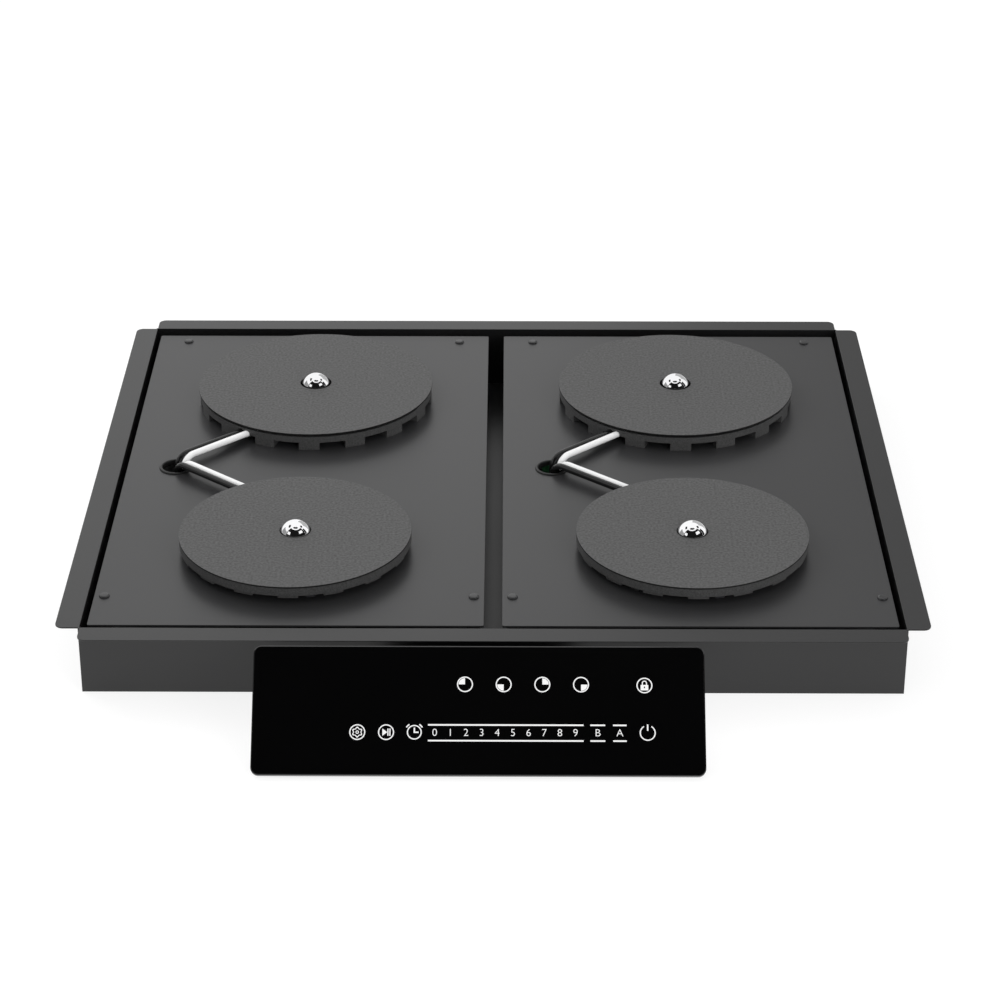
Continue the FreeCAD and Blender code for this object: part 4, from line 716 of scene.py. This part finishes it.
for low, high in [SLIDER] + [(x - half, x + half) for _, x, half in LETTERS]:
    for level in (-SLIDER_HALF, SLIDER_HALF):
        bar(low, SLIDER_ROW + level - RULE_LINE / 2, high, SLIDER_ROW + level + RULE_LINE / 2)
for digit in range(10):
    lettering(str(digit), DIGIT_FIRST + digit * DIGIT_PITCH)
for letter, x, _ in LETTERS:
    lettering(letter, x)

# The switch: a bar in the gap of a ring.
POWER_X = 0.1180
POWER_GAP = 0.0026
POWER_BAR = (0.0015, 0.0060)
POWER_LINE = 0.0010
for face in band(POWER_X, LOWER_ROW, BADGE_RADIUS, BADGE_LINE):
    middle = face.calc_center_median()
    if abs(middle.x - POWER_X) < POWER_GAP and middle.y > LOWER_ROW:
        marks.faces.remove(face)
bar(POWER_X - POWER_LINE / 2, LOWER_ROW + POWER_BAR[0], POWER_X + POWER_LINE / 2, LOWER_ROW + POWER_BAR[1])

# All the marks: cleaned, made a thin sheet and laid on the front of the pane, which is opaque here.
bmesh.ops.delete(marks, geom=[vert for vert in marks.verts if not vert.link_faces], context="VERTS")
bmesh.ops.remove_doubles(marks, verts=marks.verts, dist=MERGE)
bmesh.ops.dissolve_degenerate(marks, edges=marks.edges, dist=MERGE)
for face in marks.faces:
    if face.normal.z < 0:
        face.normal_flip()
raised = bmesh.ops.extrude_face_region(marks, geom=list(marks.faces), use_keep_orig=True)["geom"]
bmesh.ops.translate(marks, verts=only(bmesh.types.BMVert, raised), vec=(0, 0, PRINT_SHEET))
bmesh.ops.recalc_face_normals(marks, faces=marks.faces)
glass_low, glass_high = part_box("control_glass")
edge = Vector(((glass_low.x + glass_high.x) / 2,
               glass_high.y - GLASS_HEIGHT * math.cos(PANEL_TILT) - GLASS_SHEET * math.sin(PANEL_TILT),
               glass_low.z + GLASS_SHEET * math.cos(PANEL_TILT)))
bmesh.ops.transform(marks, verts=marks.verts,
                    matrix=Matrix.Translation(edge) @ Matrix.Rotation(PANEL_TILT, 4, "X"))
lit = grained("lit_print", (0.5, 0.5, 0.5), roughness=0.5, grain_scale=2000, speckle=0.04,
              cloud=0.05, bump=0.0, edge=0.0001)
lit_shader = lit.node_tree.nodes["Principled BSDF"]
lit_shader.inputs["Emission Color"].default_value = (1, 1, 1, 1)
lit_shader.inputs["Emission Strength"].default_value = PRINT_GLOW
print_piece = add_piece("panel_marks", marks, lit, "cooktop")

# Studio: a pale floor, clear from below, white surroundings, a soft lamp high on the left and a fill at the
# front right. Flags that only reflections see stand round it: a dark one in front with two white windows,
# which the polished domes and the glass mirror, and dark and grey ones at the sides and overhead.
FLOOR_HALF = 8
FLOOR_GAP = 0.0002
FLOOR_COLOR = 0.27
FLOOR_GLOW = 0.81
SKY_ON_OBJECT = 0.76
LAMP_AIM = Vector((0, 0, 0.05))
FLAG_DISTANCE = 3
FLAG_STEPS = 16


def add_screen(name, bm, material):
    """Turn a bmesh into an object of the studio."""
    mesh = bpy.data.meshes.new(name)
    bm.to_mesh(mesh)
    bm.free()
    mesh.materials.append(material)
    screen = bpy.data.objects.new(name, mesh)
    scene.collection.objects.link(screen)
    return screen


def bare(name):
    """Material that has no shader yet."""
    material = bpy.data.materials.new(name)
    material.use_nodes = True
    material.node_tree.nodes.remove(material.node_tree.nodes["Principled BSDF"])
    return material


def seen_strength(tree, seen, unseen):
    """Socket with one value for what the camera, glossy surfaces and glass see, and one for other rays."""
    path = tree.nodes.new("ShaderNodeLightPath")
    ray = path.outputs["Is Camera Ray"]
    for name in ("Is Glossy Ray", "Is Transmission Ray"):
        ray = reckon(tree, "MAXIMUM", ray, path.outputs[name])
    strength = tree.nodes.new("ShaderNodeMapRange")
    strength.inputs["To Min"].default_value = unseen
    strength.inputs["To Max"].default_value = seen
    tree.links.new(ray, strength.inputs["Value"])
    return strength.outputs["Result"]


pale = bare("pale_floor")
nodes, links = pale.node_tree.nodes, pale.node_tree.links
matte = nodes.new("ShaderNodeBsdfDiffuse")
matte.inputs["Color"].default_value = (FLOOR_COLOR, FLOOR_COLOR, FLOOR_COLOR, 1)
glow = nodes.new("ShaderNodeEmission")
links.new(seen_strength(pale.node_tree, FLOOR_GLOW, 0), glow.inputs["Strength"])
both = nodes.new("ShaderNodeAddShader")
links.new(matte.outputs[0], both.inputs[0])
links.new(glow.outputs[0], both.inputs[1])
underside = nodes.new("ShaderNodeNewGeometry")
clear = nodes.new("ShaderNodeBsdfTransparent")
one_way = nodes.new("ShaderNodeMixShader")
links.new(underside.outputs["Backfacing"], one_way.inputs[0])
links.new(both.outputs[0], one_way.inputs[1])
links.new(clear.outputs[0], one_way.inputs[2])
links.new(one_way.outputs[0], nodes["Material Output"].inputs["Surface"])
bm = bmesh.new()
bmesh.ops.create_grid(bm, x_segments=1, y_segments=1, size=FLOOR_HALF)
floor = add_screen("floor", bm, pale)
floor.location.z = cad_low.z - FLOOR_GAP

world = bpy.data.worlds.new("white_surroundings")
world.use_nodes = True
scene.world = world
sky = world.node_tree.nodes["Background"]
sky.inputs["Color"].default_value = (1, 1, 1, 1)
world.node_tree.links.new(seen_strength(world.node_tree, 1, SKY_ON_OBJECT), sky.inputs["Strength"])


def soft_lamp(name, location, width, power):
    """Square area lamp aimed at the object, which reflections don't show."""
    light = bpy.data.lights.new(name, "AREA")
    light.size = width
    light.energy = power
    lamp = bpy.data.objects.new(name, light)
    lamp.location = location
    lamp.rotation_euler = (LAMP_AIM - lamp.location).to_track_quat("-Z", "Y").to_euler()
    lamp.visible_glossy = False
    scene.collection.objects.link(lamp)


soft_lamp("key_lamp", location=(-0.95, 0.55, 1.15), width=0.9, power=7.5)
soft_lamp("front_fill", location=(1.3, -2.0, 0.7), width=1.2, power=21)


def flag(name, azimuths, elevations, brightness, share=1):
    """Patch of a large ball that only reflections see; azimuths in degrees from the front to the right."""
    distance = FLAG_DISTANCE * share
    low, high = (math.radians(angle) for angle in elevations)
    first, last = (math.radians(angle) for angle in azimuths)
    bm = bmesh.new()
    foot = Vector((0, -distance * math.cos(low), distance * math.sin(low)))
    foot.rotate(Matrix.Rotation(first, 3, "Z"))
    across = Vector((math.cos(first), math.sin(first), 0))
    bm.verts.new(foot)
    bmesh.ops.spin(bm, geom=list(bm.verts), cent=(0, 0, 0), axis=-across, angle=high - low, steps=FLAG_STEPS)
    bmesh.ops.spin(bm, geom=list(bm.verts) + list(bm.edges), cent=(0, 0, 0), axis=(0, 0, 1),
                   angle=last - first, steps=FLAG_STEPS)
    cloth = bare(f"{name}_cloth")
    nodes, links = cloth.node_tree.nodes, cloth.node_tree.links
    shine = nodes.new("ShaderNodeEmission")
    shine.inputs["Strength"].default_value = brightness
    links.new(shine.outputs[0], nodes["Material Output"].inputs["Surface"])
    screen = add_screen(name, bm, cloth)
    screen.visible_camera = False
    screen.visible_diffuse = False
    screen.visible_shadow = False
    screen.visible_transmission = False


flag("front_flag", azimuths=(-70, 82), elevations=(0.5, 61), brightness=0.008)
flag("left_window", azimuths=(-64, -41), elevations=(20, 37), brightness=1, share=0.97)
flag("right_window", azimuths=(33, 68), elevations=(30, 48), brightness=1, share=0.97)
flag("top_dash", azimuths=(-58, 58), elevations=(70, 83), brightness=0.01)
flag("left_dash", azimuths=(-122, -88), elevations=(48, 60), brightness=0.01)
flag("right_dash", azimuths=(94, 122), elevations=(50, 62), brightness=0.01)
flag("left_side_flag", azimuths=(-116, -71), elevations=(2, 27), brightness=0.3)
flag("right_side_flag", azimuths=(83, 99), elevations=(4, 42), brightness=0.01)
flag("right_rear_flag", azimuths=(128, 173.5), elevations=(4, 42), brightness=0.47)

# Camera: the photograph's own place and lens, worked out from the tray's edges.
# It has no roll, no shift and no depth of field.
SENSOR_WIDTH = 36
LENS = 104.8
CAMERA_PLACE = (0.0109, -2.0600, 1.1045)
CAMERA_HEADING = Vector((-0.0046, 0.8858, -0.4640))
camera_data = bpy.data.cameras.new("camera")
camera_data.sensor_width = SENSOR_WIDTH
camera_data.lens = LENS
camera = bpy.data.objects.new("camera", camera_data)
camera.location = CAMERA_PLACE
camera.rotation_euler = CAMERA_HEADING.to_track_quat("-Z", "Y").to_euler()
scene.collection.objects.link(camera)
scene.camera = camera
scene.view_settings.view_transform = "Standard"
